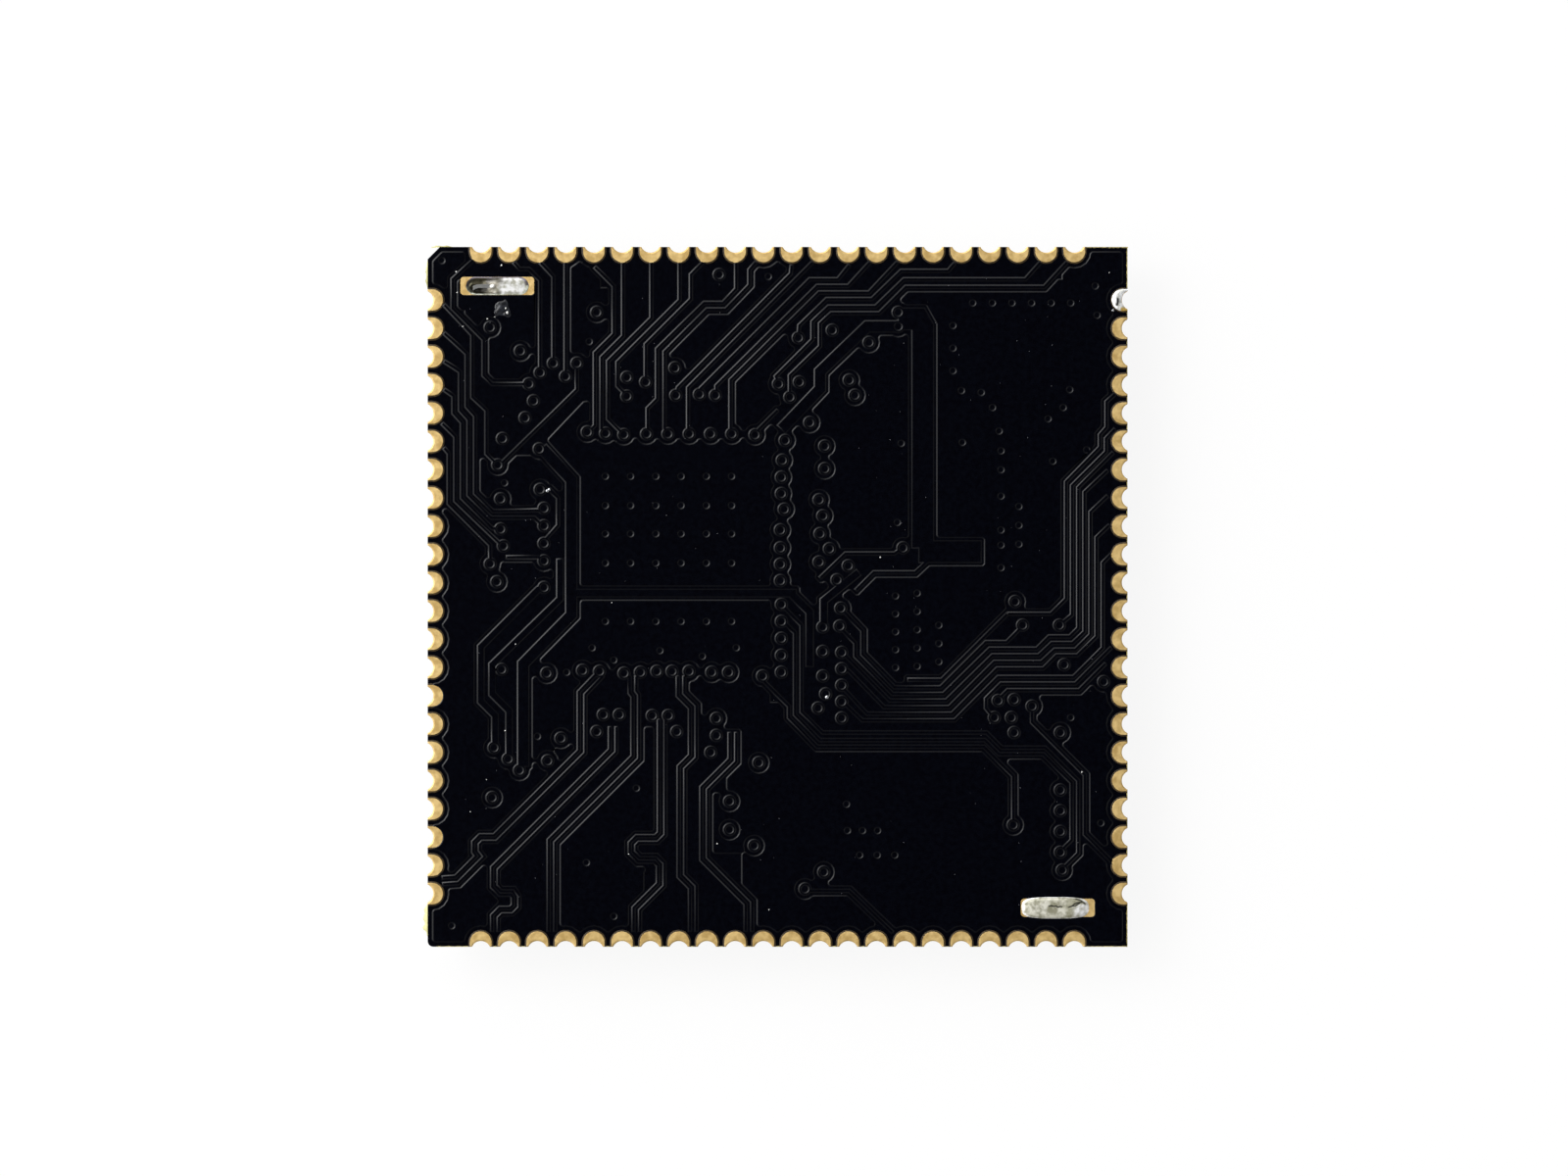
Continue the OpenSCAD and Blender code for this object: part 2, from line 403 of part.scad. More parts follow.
// The gold pad round a slot
module slot_pad_shape() {
    l = slot_pad_l;
    w = slot_pad_w;
    r = slot_pad_r;
    square([l - 2 * r, w], center = true);
    square([l, w - 2 * r], center = true);
    for (x = [-1, 1], y = [-1, 1]) translate([x * (l / 2 - r), y * (w / 2 - r)]) circle(r);
}

// A castellation's land, grown by g and carried over the edge by out, round towards the board
module land_shape(g, out = 0.01) {
    r = pad_w / 2;
    translate([0, r - pad_reach]) circle(r + g);
    translate([-r - g, r - pad_reach]) square([2 * (r + g), pad_reach - r + out]);
}
module pad_hole(r) {
    translate([0, pad_hole_out]) circle(r);
}
// The part of a castellation's outline that lies inside the board
module inside_edge() {
    intersection() {
        children();
        translate([-pad_w, -pad_w]) square([2 * pad_w, pad_w]);
    }
}

// The board with one corner cut off and one rounded
module board_shape() {
    difference() {
        square(board_w, center = true);
        translate([-half, half]) rotate(45) square(corner_cut * sqrt(2), center = true);
        translate([-half, -half]) difference() {
            square(2 * corner_r, center = true);
            translate([corner_r, corner_r]) circle(corner_r);
        }
    }
}
module board_holes() {
    at_pads() pad_hole(pad_hole_r + plating_t);
    at_slots() slot_shape(plating_t);
}

// What the mask leaves open: the lands and the rings round the slots
module mask_openings() {
    at_pads() land_shape(0);
    at_slots() slot_pad_shape();
}

// Every track, drawn thinner by its own width in all when grow is -track_w / 2
module signal_tracks(grow = 0) {
    for (r = routes, k = [0:r[0] - 1]) {
        side = k * (track_w + gap);
        polygon(band(r[1], side + track_w / 2 + grow, grow + track_w / 2 - side));
    }
    for (s = strips) polygon(band(s[1], s[0] / 2 + grow, s[0] / 2 + grow));
}

// Tracks with the lands of their vias; the two offsets merge what meets
module signal_copper() {
    difference() {
        offset(delta = etch) offset(delta = -etch) difference() {
            intersection() {
                offset(delta = -edge_clear) board_shape();
                union() {
                    signal_tracks();
                    in_rows(signal_vias) circle(via_land_r, $fn = 24);
                }
            }
            at_pads() land_shape(etch, $fn = 24);
        }
        in_rows(signal_vias) circle(dimple_r);
    }
}

// Ground copper with channels round tracks, vias and pads, solid to the slot pads; what is left
// narrower than a sliver is etched away
module ground_copper() {
    difference() {
        offset(r = sliver / 2, $fn = 16) offset(r = -sliver / 2, $fn = 16) difference() {
            offset(delta = -edge_clear) board_shape();
            offset(delta = gap, chamfer = true) signal_tracks();
            for (b = bare) translate([b[0], b[1]]) square([b[2], b[3]]);
            for (p = bare_corners) polygon(p);
            in_rows(signal_vias) circle(via_land_r + via_clear);
            at_pads(skip = ground_pads) land_shape(pad_clear);
        }
        in_rows(ground_vias) circle(ground_dimple_r);
        at_pads() land_shape(0);
        at_slots() slot_pad_shape();
    }
}

// A square of side w with corners of radius r
module rounded_square(w, r) {
    square([w, w - 2 * r], center = true);
    square([w - 2 * r, w], center = true);
    for (x = [-1, 1], y = [-1, 1]) translate([x * (w / 2 - r), y * (w / 2 - r)]) circle(r);
}
module frame_shape() {
    difference() {
        rounded_square(can_w - sheet_t + frame_w, can_corner_r + (frame_w - sheet_t) / 2);
        rounded_square(can_w - sheet_t - frame_w, can_corner_r - (frame_w - sheet_t) / 2);
        at_slots() slot_shape(plating_t);
    }
}

// Outlines of the solder joints under each part
module cpu_joint_shape() {
    translate(cpu_at) {
        square(cpu_pad_w, center = true);
        for (side = [0:3], i = [0:cpu_contacts - 1]) rotate(90 * side)
            translate([(i - (cpu_contacts - 1) / 2) * cpu_pitch, cpu_w / 2 - 0.3])
                square([cpu_pitch / 2, 0.5], center = true);
    }
}
module ball_places() {
    translate(memory_at) for (side = [-1, 1], row = [0:2], i = [0:10])
        translate([(i - 5) * ball_pitch, side * (memory_w / 2 - 0.8 - row * ball_pitch)]) children();
}
module flash_joint_shape() {
    translate(flash_at) for (side = [-1, 1], i = [0:3])
        translate([side * (flash_l / 2 - 0.3), (i - 1.5) * 1.27]) square([0.5, 0.4], center = true);
}
module radio_joint_shape() {
    translate(radio_at) {
        square(radio_w * 0.64, center = true);
        for (side = [0:3], i = [0:6]) rotate(90 * side)
            translate([(i - 3) * 0.5, radio_w / 2 - 0.25]) square([0.25, 0.4], center = true);
    }
}
// Two joints under the ends of a part of size l by w
module end_joints(l, w) {
    for (s = [-1, 1]) translate([s * l * 0.375, 0]) square([l / 4, w * 0.9], center = true);
}
module coil_joint_shape() {
    for (c = coils) translate(c) end_joints(coil_w, coil_w);
}
module chip_joint_shape() {
    in_rows(concat(capacitor_rows, resistor_rows)) end_joints(chip_l, chip_w);
}
module filter_joint_shape() {
    for (f = filters) translate(f) end_joints(filter_l, filter_w);
}
module crystal_joint_shape() {
    translate(crystal_at) end_joints(crystal_l, crystal_w);
}

module pcb_laminate() {
    color("#c9c48c")
    translate([0, 0, board_z]) linear_extrude(board_t) difference() {
        board_shape();
        board_holes();
    }
}
module solder_side_mask() {
    color("#0a0a0e")
    translate([0, 0, mask_z]) linear_extrude(mask_t) difference() {
        board_shape();
        mask_openings();
    }
}
module ground_layer() {
    color("#0c0c11")
    translate([0, 0, mask_z + mask_t]) linear_extrude(copper_t) ground_copper();
}
module track_layer() {
    color("#101016")
    translate([0, 0, mask_z + mask_t]) linear_extrude(copper_t) signal_copper();
}
module component_side_mask() {
    color("#0a0a0e")
    translate([0, 0, board_z - mask_t]) linear_extrude(mask_t) difference() {
        board_shape();
        at_pads() land_shape(0);
        rounded_square(can_w - sheet_t + frame_w, can_corner_r + (frame_w - sheet_t) / 2);
    }
    color("#0a0a0e")
    translate([0, 0, board_z - mask_t]) linear_extrude(mask_t) difference() {
        rounded_square(can_w - sheet_t - frame_w, can_corner_r - (frame_w - sheet_t) / 2);
        cpu_joint_shape();
        ball_places() circle(ball_r);
        flash_joint_shape();
        radio_joint_shape();
        coil_joint_shape();
        chip_joint_shape();
        filter_joint_shape();
        crystal_joint_shape();
    }
}

// One plated half hole with its land on both faces of the board
module castellation() {
    difference() {
        union() {
            for (z = [board_z - land_t, mask_z])
                translate([0, 0, z]) linear_extrude(land_t) inside_edge() land_shape(0, 0);
            translate([0, 0, board_z]) linear_extrude(board_t) inside_edge() pad_hole(pad_hole_r + plating_t);
        }
        translate([0, 0, board_z - board_t]) linear_extrude(3 * board_t) pad_hole(pad_hole_r);
    }
}
module castellated_pads() {
    color("#d9b777") at_pads() castellation();
}
// Solder on one land and down its half hole
module tinned_pad_solder() {
    color("#d8dade") at_pad(tinned_pad) difference() {
        union() {
            translate([0, 0, land_z]) linear_extrude(top_z - land_z) inside_edge() land_shape(-0.05, 0);
            translate([0, 0, board_z]) linear_extrude(top_z - board_z) intersection() {
                pad_hole(pad_hole_r);
                translate([-pad_w, -pad_w]) square([2 * pad_w, pad_w]);
            }
        }
        translate([0, 0, board_z - 1]) linear_extrude(board_t + 2) pad_hole(pad_hole_r - 0.08);
    }
}
module slot_plating() {
    color("#cfae72") at_slots() {
        translate([0, 0, can_h]) linear_extrude(land_z - can_h) difference() {
            slot_shape(plating_t);
            slot_shape(0);
        }
        translate([0, 0, mask_z]) linear_extrude(land_t) difference() {
            slot_pad_shape();
            slot_shape(plating_t);
        }
    }
}
module tab_shape() {
    square([tab_l, sheet_t], center = true);
}
// Solder that fills the slot round the tab and flows over its ring
module slot_solder_full() {
    color("#d8dade") translate(slots[1]) difference() {
        union() {
            translate([0, 0, board_z]) linear_extrude(top_z - board_z) slot_shape(0);
            translate([0, 0, land_z]) linear_extrude(top_z - land_z) slot_shape(solder_over);
        }
        translate([0, 0, can_h]) linear_extrude(top_z - tab_short - can_h) tab_shape();
    }
}
// Solder in the other slot: up to the board's face at one end and low at the other
module slot_solder_part() {
    color("#d8dade") translate(concat(slots[0], board_z)) difference() {
        union() {
            linear_extrude(board_t - part_fill_d) slot_shape(0);
            linear_extrude(board_t) intersection() {
                slot_shape(0);
                translate([slot_l / 2 - part_fill_l, -slot_w]) square([part_fill_l, 2 * slot_w]);
            }
        }
        translate([0, 0, -land_t]) linear_extrude(top_z - tab_short - can_h) tab_shape();
    }
}

// Solid of the can's outer or inner form: side w, height h, corner radius and bend radius
module can_form(w, h, corner, bend) {
    hull() for (x = [-1, 1], y = [-1, 1])
        translate([x * (w / 2 - corner), y * (w / 2 - corner), 0]) rotate_extrude($fn = 32) {
            translate([0, bend]) square([corner, h - bend]);
            square([corner - bend, h]);
            translate([corner - bend, bend]) circle(bend);
        }
}
module shield_can() {
    color("#b9bcc0") difference() {
        can_form(can_w, top_z - tab_short, can_corner_r, can_bend_r);
        translate([0, 0, sheet_t]) can_form(can_w - 2 * sheet_t, top_z, can_corner_r - sheet_t,
                                            can_bend_r - sheet_t);
        // The rim between the tabs
        translate([0, 0, can_h]) linear_extrude(top_z) difference() {
            square(2 * can_w, center = true);
            at_slots() square([tab_l, 4 * sheet_t], center = true);
        }
    }
}
module shield_frame_land() {
    color("#cfae72") translate([0, 0, can_h]) linear_extrude(land_t) frame_shape();
}

// A package of size l, w and h whose contacts stand joint off the board
module package(at, l, w, h, lift = joint_t) {
    translate([at.x - l / 2, at.y - w / 2, board_z - mask_t - lift - h]) cube([l, w, h]);
}
// Solder from the packages to the board's face
module joints() {
    translate([0, 0, joint_z]) linear_extrude(joint_t + mask_t) children();
}
module processor() {
    color("#1c1c1f") package(cpu_at, cpu_w, cpu_w, cpu_h);
}
module processor_joints() {
    color("#c9cbce") joints() cpu_joint_shape();
}
module memory_chip() {
    color("#1c1c1f") package(memory_at, memory_l, memory_w, memory_h, ball_h);
}
module memory_balls() {
    color("#c9cbce") translate([0, 0, board_z - mask_t - ball_h])
        linear_extrude(ball_h + mask_t) ball_places() circle(ball_r);
}
module flash_chip() {
    color("#1c1c1f") package(flash_at, flash_l, flash_w, flash_h);
}
module flash_joints() {
    color("#c9cbce") joints() flash_joint_shape();
}
module radio_amplifier() {
    color("#1c1c1f") package(radio_at, radio_w, radio_w, radio_h);
}
module radio_joints() {
    color("#c9cbce") joints() {
        radio_joint_shape();
        crystal_joint_shape();
    }
}
module crystal_base() {
    color("#8f8a80") package(crystal_at, crystal_l, crystal_w, crystal_h / 2);
}
module crystal_lid() {
    color("#c4c4c4") package(crystal_at, crystal_l - 0.3, crystal_w - 0.3, crystal_h / 2,
                             joint_t + crystal_h / 2);
}
module power_inductors() {
    color("#4a4a4d") for (c = coils) package(c, coil_w, coil_w, coil_h);
}
module inductor_joints() {
    color("#c9cbce") joints() coil_joint_shape();
}
module capacitors() {
    color("#b08a5a") in_rows(capacitor_rows) package([0, 0], chip_l, chip_w, chip_w);
}
module resistors() {
    color("#202024") in_rows(resistor_rows) package([0, 0], chip_l, chip_w, chip_w * 0.7);
}
module chip_joints() {
    color("#c9cbce") joints() chip_joint_shape();
}
module radio_filters() {
    color("#d8d2c4") for (f = filters) package(f, filter_l, filter_w, filter_w * 0.7);
}
module filter_joints() {
    color("#c9cbce") joints() filter_joint_shape();
}

pcb_laminate();
solder_side_mask();
ground_layer();
track_layer();
component_side_mask();
castellated_pads();
tinned_pad_solder();
slot_plating();
slot_solder_full();
slot_solder_part();
shield_can();
shield_frame_land();
processor();
processor_joints();
memory_chip();
memory_balls();
flash_chip();
flash_joints();
radio_amplifier();
radio_joints();
crystal_base();
crystal_lid();
power_inductors();
inductor_joints();
capacitors();
resistors();
chip_joints();
radio_filters();
filter_joints();
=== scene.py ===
import math
import random
import bpy
import bmesh
import numpy as np
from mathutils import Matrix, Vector, noise
from bpy.props import FloatProperty, FloatVectorProperty, PointerProperty, IntProperty


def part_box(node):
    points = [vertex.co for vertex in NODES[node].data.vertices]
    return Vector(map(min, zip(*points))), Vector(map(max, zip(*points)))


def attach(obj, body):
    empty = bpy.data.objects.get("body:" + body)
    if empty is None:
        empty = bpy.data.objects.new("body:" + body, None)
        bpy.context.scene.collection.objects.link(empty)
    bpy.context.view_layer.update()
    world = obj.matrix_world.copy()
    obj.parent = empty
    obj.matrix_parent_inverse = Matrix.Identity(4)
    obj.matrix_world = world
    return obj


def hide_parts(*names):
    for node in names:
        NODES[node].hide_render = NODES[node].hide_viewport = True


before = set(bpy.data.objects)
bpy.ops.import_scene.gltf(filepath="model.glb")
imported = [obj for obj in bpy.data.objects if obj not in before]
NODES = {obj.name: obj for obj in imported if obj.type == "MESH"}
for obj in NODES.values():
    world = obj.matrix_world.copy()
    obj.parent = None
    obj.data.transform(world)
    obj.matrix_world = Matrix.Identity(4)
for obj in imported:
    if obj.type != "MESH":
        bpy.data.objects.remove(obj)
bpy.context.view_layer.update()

bl_info = {
    "name": "Wifi module",
    "version": (1, 0, 0),
    "blender": (4, 5, 0),
    "location": "View3D > Sidebar > Wifi module",
    "description": "Finishes for a castellated surface-mount wifi module seen from its solder side",
    "category": "Object",
}

MM = 0.001
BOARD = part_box("pcb_laminate")
FILM_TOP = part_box("solder_side_mask")[1][2]
COPPER_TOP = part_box("ground_layer")[1][2]
LAND_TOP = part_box("castellated_pads")[1][2]
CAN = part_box("shield_can")
# Sizes of the castellations, as the solids have them
PADS = 22
PITCH = 1.5 * MM
PAD_W = 1.15 * MM
PAD_REACH = 0.82 * MM
HOLE_R = 0.53 * MM
HOLE_OUT = 0.23 * MM
PLATING = 0.035 * MM
# Rounding of the lands' edges, how uneven etching leaves them, and the small tip where a track leaves a land
LAND_ROUND = 0.014 * MM
LAND_CLEAN = 0.05 * MM
LAND_ROUGH = 0.010 * MM
LAND_GRAIN_MM = 0.25
TIP_REACH = 0.075 * MM
TIP_ANGLE = 0.16
# Distances below which vertices are one, and below which a face lies in the upper plane
WELD = 2e-7
FLAT = 2e-6
# Smallest cosine by which a mitred corner is stretched
MITRE_LIMIT = 0.6
# Spacing of the glass fibres along a routed edge
FIBRE_STEP = 0.09 * MM
# Stage: the floor's side and how much of it glows white, the heights on a unit sphere between which the world
# darkens overhead, the camera's sensor in millimetres, and the point it looks down on
FLOOR_SIDE = 1.2
FLOOR_GLOW = 0.9
DARK_FROM, DARK_FULL = 0.83, 0.955
SENSOR_MM = 36.0
AIM = (0.34 * MM, 0.47 * MM)


def linear(code):
    """An sRGB hex colour as linear RGBA."""
    parts = [int(code[i:i + 2], 16) / 255 for i in (1, 3, 5)]
    return tuple(c / 12.92 if c <= 0.04045 else ((c + 0.055) / 1.055) ** 2.4 for c in parts) + (1.0,)


def add(tree, kind, links=None, **settings):
    """Adds a node. A setting named after a socket sets it, any other is an attribute of the node."""
    node = tree.nodes.new("ShaderNode" + kind)
    for key, value in settings.items():
        name = key.replace("_", " ")
        socket = next((s for s in node.inputs if s.name.lower() == name), None)
        if socket is None:
            setattr(node, key, value)
        else:
            socket.default_value = value
    for key, source in (links or {}).items():
        tree.links.new(source, node.inputs[key])
    return node


def new_material(name):
    mat = bpy.data.materials.new(name)
    mat.use_nodes = True
    tree = mat.node_tree
    tree.nodes.clear()
    out = add(tree, "OutputMaterial")
    place = add(tree, "TexCoord")
    return mat, tree, out, place.outputs["Object"]


def per_mm(size_mm):
    """Scale of a noise whose grain is size_mm across, for coordinates in metres."""
    return 1000.0 / size_mm


def height(tree, place, size_mm, depth_mm, detail=2.0, links=None):
    """A bump of the given grain and depth, both real sizes."""
    grain = add(tree, "TexNoise", {"Vector": place}, scale=per_mm(size_mm), detail=detail)
    more = {"Height": grain.outputs["Fac"]}
    more.update(links or {})
    return add(tree, "Bump", more, strength=1.0, distance=depth_mm * MM)


def mixed(tree, place, size_mm, dark, light, low=0.35, high=0.65, detail=4.0):
    """Two colours that change over patches of the given size."""
    grain = add(tree, "TexNoise", {"Vector": place}, scale=per_mm(size_mm), detail=detail)
    ramp = add(tree, "ValToRGB", {"Fac": grain.outputs["Fac"]})
    ramp.color_ramp.elements[0].position = low
    ramp.color_ramp.elements[0].color = dark
    ramp.color_ramp.elements[1].position = high
    ramp.color_ramp.elements[1].color = light
    return ramp


def black_solder_mask():
    # Photo-imaged epoxy solder mask, sprayed and cured: black, glossy, with a fine orange peel.
    mat, tree, out, place = new_material("black_solder_mask")
    s = bpy.context.scene.wifi_module
    peel = height(tree, place, 0.9, 0.0035)
    grit = height(tree, place, 0.07, 0.0009, 3.0, {"Normal": peel.outputs["Normal"]})
    colour = mixed(tree, place, 0.25, linear("#020206"), tuple(s.mask_colour) + (1.0,))
    body = add(tree, "BsdfPrincipled",
               {"Base Color": colour.outputs["Color"], "Normal": grit.outputs["Normal"]},
               roughness=s.mask_roughness, ior=1.5, specular_ior_level=s.mask_gloss)
    tree.links.new(body.outputs[0], out.inputs["Surface"])
    return mat


def thin_mask_rim():
    # The same mask where it thins over the edge of a land: copper shows through as olive brown.
    mat, tree, out, place = new_material("thin_mask_rim")
    colour = mixed(tree, place, 0.2, linear("#231a0c"), linear("#4a3a1c"))
    body = add(tree, "BsdfPrincipled", {"Base Color": colour.outputs["Color"]}, roughness=0.4, ior=1.5)
    tree.links.new(body.outputs[0], out.inputs["Surface"])
    return mat


def immersion_gold():
    # Electroless nickel with immersion gold: satin, slightly granular from the copper below.
    mat, tree, out, place = new_material("immersion_gold")
    s = bpy.context.scene.wifi_module
    grain = height(tree, place, 0.05, 0.0015, 3.0)
    colour = mixed(tree, place, 0.35, linear("#c8a96b"), tuple(s.gold_colour) + (1.0,))
    body = add(tree, "BsdfPrincipled",
               {"Base Color": colour.outputs["Color"], "Normal": grain.outputs["Normal"]},
               metallic=1.0, roughness=0.6)
    tree.links.new(body.outputs[0], out.inputs["Surface"])
    return mat


def reflowed_solder():
    # Tin-silver solder that froze after reflow: bright with faint dull crystals.
    mat, tree, out, place = new_material("reflowed_solder")
    grain = height(tree, place, 0.12, 0.002, 3.0)
    colour = mixed(tree, place, 0.3, linear("#b9bcc2"), linear("#eceef0"))
    body = add(tree, "BsdfPrincipled",
               {"Base Color": colour.outputs["Color"], "Normal": grain.outputs["Normal"]},
               metallic=1.0, roughness=0.24)
    tree.links.new(body.outputs[0], out.inputs["Surface"])
    return mat


def frozen_solder():
    # Hand-fed solder with its flux still on it: satin, mottled, in the tones stored in the mesh, which also
    # carry painted shade and painted highlights.
    mat, tree, out, place = new_material("frozen_solder")
    tone = add(tree, "Attribute", attribute_name="tone")
    mottle = mixed(tree, place, 0.3, linear("#b4b3a6"), (1, 1, 1, 1), 0.38, 0.58)
    colour = add(tree, "Mix", {6: tone.outputs["Color"], 7: mottle.outputs["Color"]},
                 data_type="RGBA", blend_type="MULTIPLY", factor=1.0)
    grain = height(tree, place, 0.2, 0.005, 3.0)
    body = add(tree, "BsdfPrincipled", {"Base Color": colour.outputs[2], "Normal": grain.outputs["Normal"]},
               metallic=0.35, roughness=0.4)
    tree.links.new(body.outputs[0], out.inputs["Surface"])
    return mat


def nickel_silver():
    # Rolled nickel silver strip, pressed: satin with fine rolling lines along one way.
    mat, tree, out, place = new_material("nickel_silver")
    lines = add(tree, "Mapping", {"Vector": place}, scale=(1.0, 14.0, 1.0))
    rolled = height(tree, lines.outputs["Vector"], 1.2, 0.002, 4.0)
    colour = mixed(tree, place, 4.0, linear("#b4b5b4"), linear("#cfcfcc"))
    body = add(tree, "BsdfPrincipled",
               {"Base Color": colour.outputs["Color"], "Normal": rolled.outputs["Normal"]},
               metallic=1.0, roughness=0.34)
    tree.links.new(body.outputs[0], out.inputs["Surface"])
    return mat


def glass_epoxy():
    # FR-4 glass cloth in epoxy, routed: pale yellow-green with bands of glass bundles in its edge.
    mat, tree, out, place = new_material("glass_epoxy")
    s = bpy.context.scene.wifi_module
    cloth = add(tree, "Mapping", {"Vector": place}, scale=(1.0, 1.0, 9.0))
    weave = add(tree, "TexNoise", {"Vector": cloth.outputs["Vector"]}, scale=per_mm(1.3), detail=4.0)
    ramp = add(tree, "ValToRGB", {"Fac": weave.outputs["Fac"]})
    ramp.color_ramp.elements[0].position = 0.36
    ramp.color_ramp.elements[0].color = linear("#8f8a4e")
    ramp.color_ramp.elements[1].position = 0.62
    ramp.color_ramp.elements[1].color = tuple(s.laminate_colour) + (1.0,)
    cut = height(tree, place, 0.08, 0.01, 3.0)
    body = add(tree, "BsdfPrincipled", {"Base Color": ramp.outputs["Color"], "Normal": cut.outputs["Normal"]},
               roughness=0.6, ior=1.5)
    tree.links.new(body.outputs[0], out.inputs["Surface"])
    return mat


def bare_laminate():
    # The same laminate where the mask stops short of the routed edge: olive with gold glints.
    mat, tree, out, place = new_material("bare_laminate_edge")
    colour = mixed(tree, place, 0.15, linear("#4d4722"), linear("#b7a763"))
    body = add(tree, "BsdfPrincipled", {"Base Color": colour.outputs["Color"]}, roughness=0.55, ior=1.5)
    tree.links.new(body.outputs[0], out.inputs["Surface"])
    return mat


def moulding_compound():
    # Black epoxy moulding compound: matt, slightly grey, fine grain.
    mat, tree, out, place = new_material("moulding_compound")
    colour = mixed(tree, place, 0.3, linear("#17171a"), linear("#26262a"))
    grain = height(tree, place, 0.05, 0.003)
    body = add(tree, "BsdfPrincipled",
               {"Base Color": colour.outputs["Color"], "Normal": grain.outputs["Normal"]},
               roughness=0.62)
    tree.links.new(body.outputs[0], out.inputs["Surface"])
    return mat


def burnt_flux():
    # Charred flux residue: glassy, blue-black, wrinkled.
    mat, tree, out, place = new_material("burnt_flux")
    wrinkle = height(tree, place, 0.14, 0.02, 4.0)
    colour = mixed(tree, place, 0.18, linear("#0c0d12"), linear("#34373f"), 0.45, 0.75)
    body = add(tree, "BsdfPrincipled",
               {"Base Color": colour.outputs["Color"], "Normal": wrinkle.outputs["Normal"]}, roughness=0.3)
    tree.links.new(body.outputs[0], out.inputs["Surface"])
    return mat


def mottled_matt(name, dark, light):
    # Fired ceramic, grains of dust, or the white grains that stand as painted highlights on the flux crumb:
    # matt with faint mottling.
    mat, tree, out, place = new_material(name)
    colour = mixed(tree, place, 0.2, linear(dark), linear(light))
    body = add(tree, "BsdfPrincipled", {"Base Color": colour.outputs["Color"]}, roughness=0.55)
    tree.links.new(body.outputs[0], out.inputs["Surface"])
    return mat


MATERIALS = {}


def material(name):
    """Makes each material once."""
    if name not in MATERIALS:
        MATERIALS[name] = {
            "mask": black_solder_mask, "rim": thin_mask_rim, "gold": immersion_gold,
            "solder": reflowed_solder, "frozen_solder": frozen_solder,
            "can": nickel_silver, "laminate": glass_epoxy,
            "package": moulding_compound,
            "ferrite": lambda: mottled_matt("ferrite", "#343437", "#4b4b4e"),
            "capacitor": lambda: mottled_matt("capacitor_body", "#8a6238", "#b08650"),
            "crystal": lambda: mottled_matt("crystal_ceramic", "#6d665c", "#8a8377"),
            "filter": lambda: mottled_matt("pale_ceramic", "#cfc8b8", "#e6e0d2"),
            "laminate_edge": bare_laminate,
            "grey_dust": lambda: mottled_matt("grey_dust", "#55555c", "#8c8c92"),
            "crumb": burnt_flux,
            "dust": lambda: mottled_matt("white_dust_and_glints", "#c9c9c6", "#f2f2ee"),
        }[name]()
    return MATERIALS[name]


def finish_node(node, name):
    """Gives a CAD node its material."""
    obj = NODES[node]
    obj.data.materials.clear()
    obj.data.materials.append(material(name))
    return obj


def new_piece(name, verts, faces, mat, replaced=(), normals=None, smooth=True):
    """A mesh piece in metres that rides on the module's only body."""
    mesh = bpy.data.meshes.new(name)
    mesh.from_pydata([tuple(v) for v in verts], [], [tuple(f) for f in faces])
    mesh.materials.append(material(mat))
    mesh.polygons.foreach_set("use_smooth", [smooth] * len(mesh.polygons))
    mesh.update()
    if normals is not None:
        mesh.normals_split_custom_set_from_vertices([tuple(n) for n in normals])
    obj = bpy.data.objects.new(name, mesh)
    bpy.context.collection.objects.link(obj)
    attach(obj, "root")
    if replaced:
        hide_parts(*replaced)
    return obj


def flat_top(node):
    """Welded vertices and faces of a node's upper plane."""
    mesh = NODES[node].data
    co = np.zeros(len(mesh.vertices) * 3)
    mesh.vertices.foreach_get("co", co)
    co = co.reshape(-1, 3)
    keys, index = np.unique(np.round(co / WELD).astype(np.int64), axis=0, return_inverse=True)
    index = index.reshape(-1)
    points = np.zeros((len(keys), 3))
    points[index] = co
    top = points[:, 2].max()
    faces = []
    for poly in mesh.polygons:
        ids = [int(index[v]) for v in poly.vertices]
        if all(points[i, 2] > top - FLAT for i in ids) and len(set(ids)) == len(ids):
            faces.append(ids)
    return points, faces


def outline_normals(points, faces):
    """Boundary edges of a flat region, with the mitred outward direction at each of their vertices."""
    edges = dict.fromkeys((a, b) for f in faces for a, b in zip(f, f[1:] + f[:1]))
    border = [(a, b) for a, b in edges if (b, a) not in edges]
    sums = {}
    for a, b in border:
        d = points[b, :2] - points[a, :2]
        size = float(np.hypot(*d))
        if size < 1e-9:
            continue
        n = np.array([d[1], -d[0]]) / size
        for v in (a, b):
            sums.setdefault(v, []).append(n)
    out = {}
    for v, ns in sums.items():
        total = np.sum(ns, axis=0)
        size = float(np.hypot(*total))
        if size < 1e-6:
            out[v] = (np.array(ns[0]), 1.0)
            continue
        unit = total / size
        cosine = max(MITRE_LIMIT, float(np.dot(unit, ns[0])))
        out[v] = (unit, 1.0 / cosine)
    return border, out


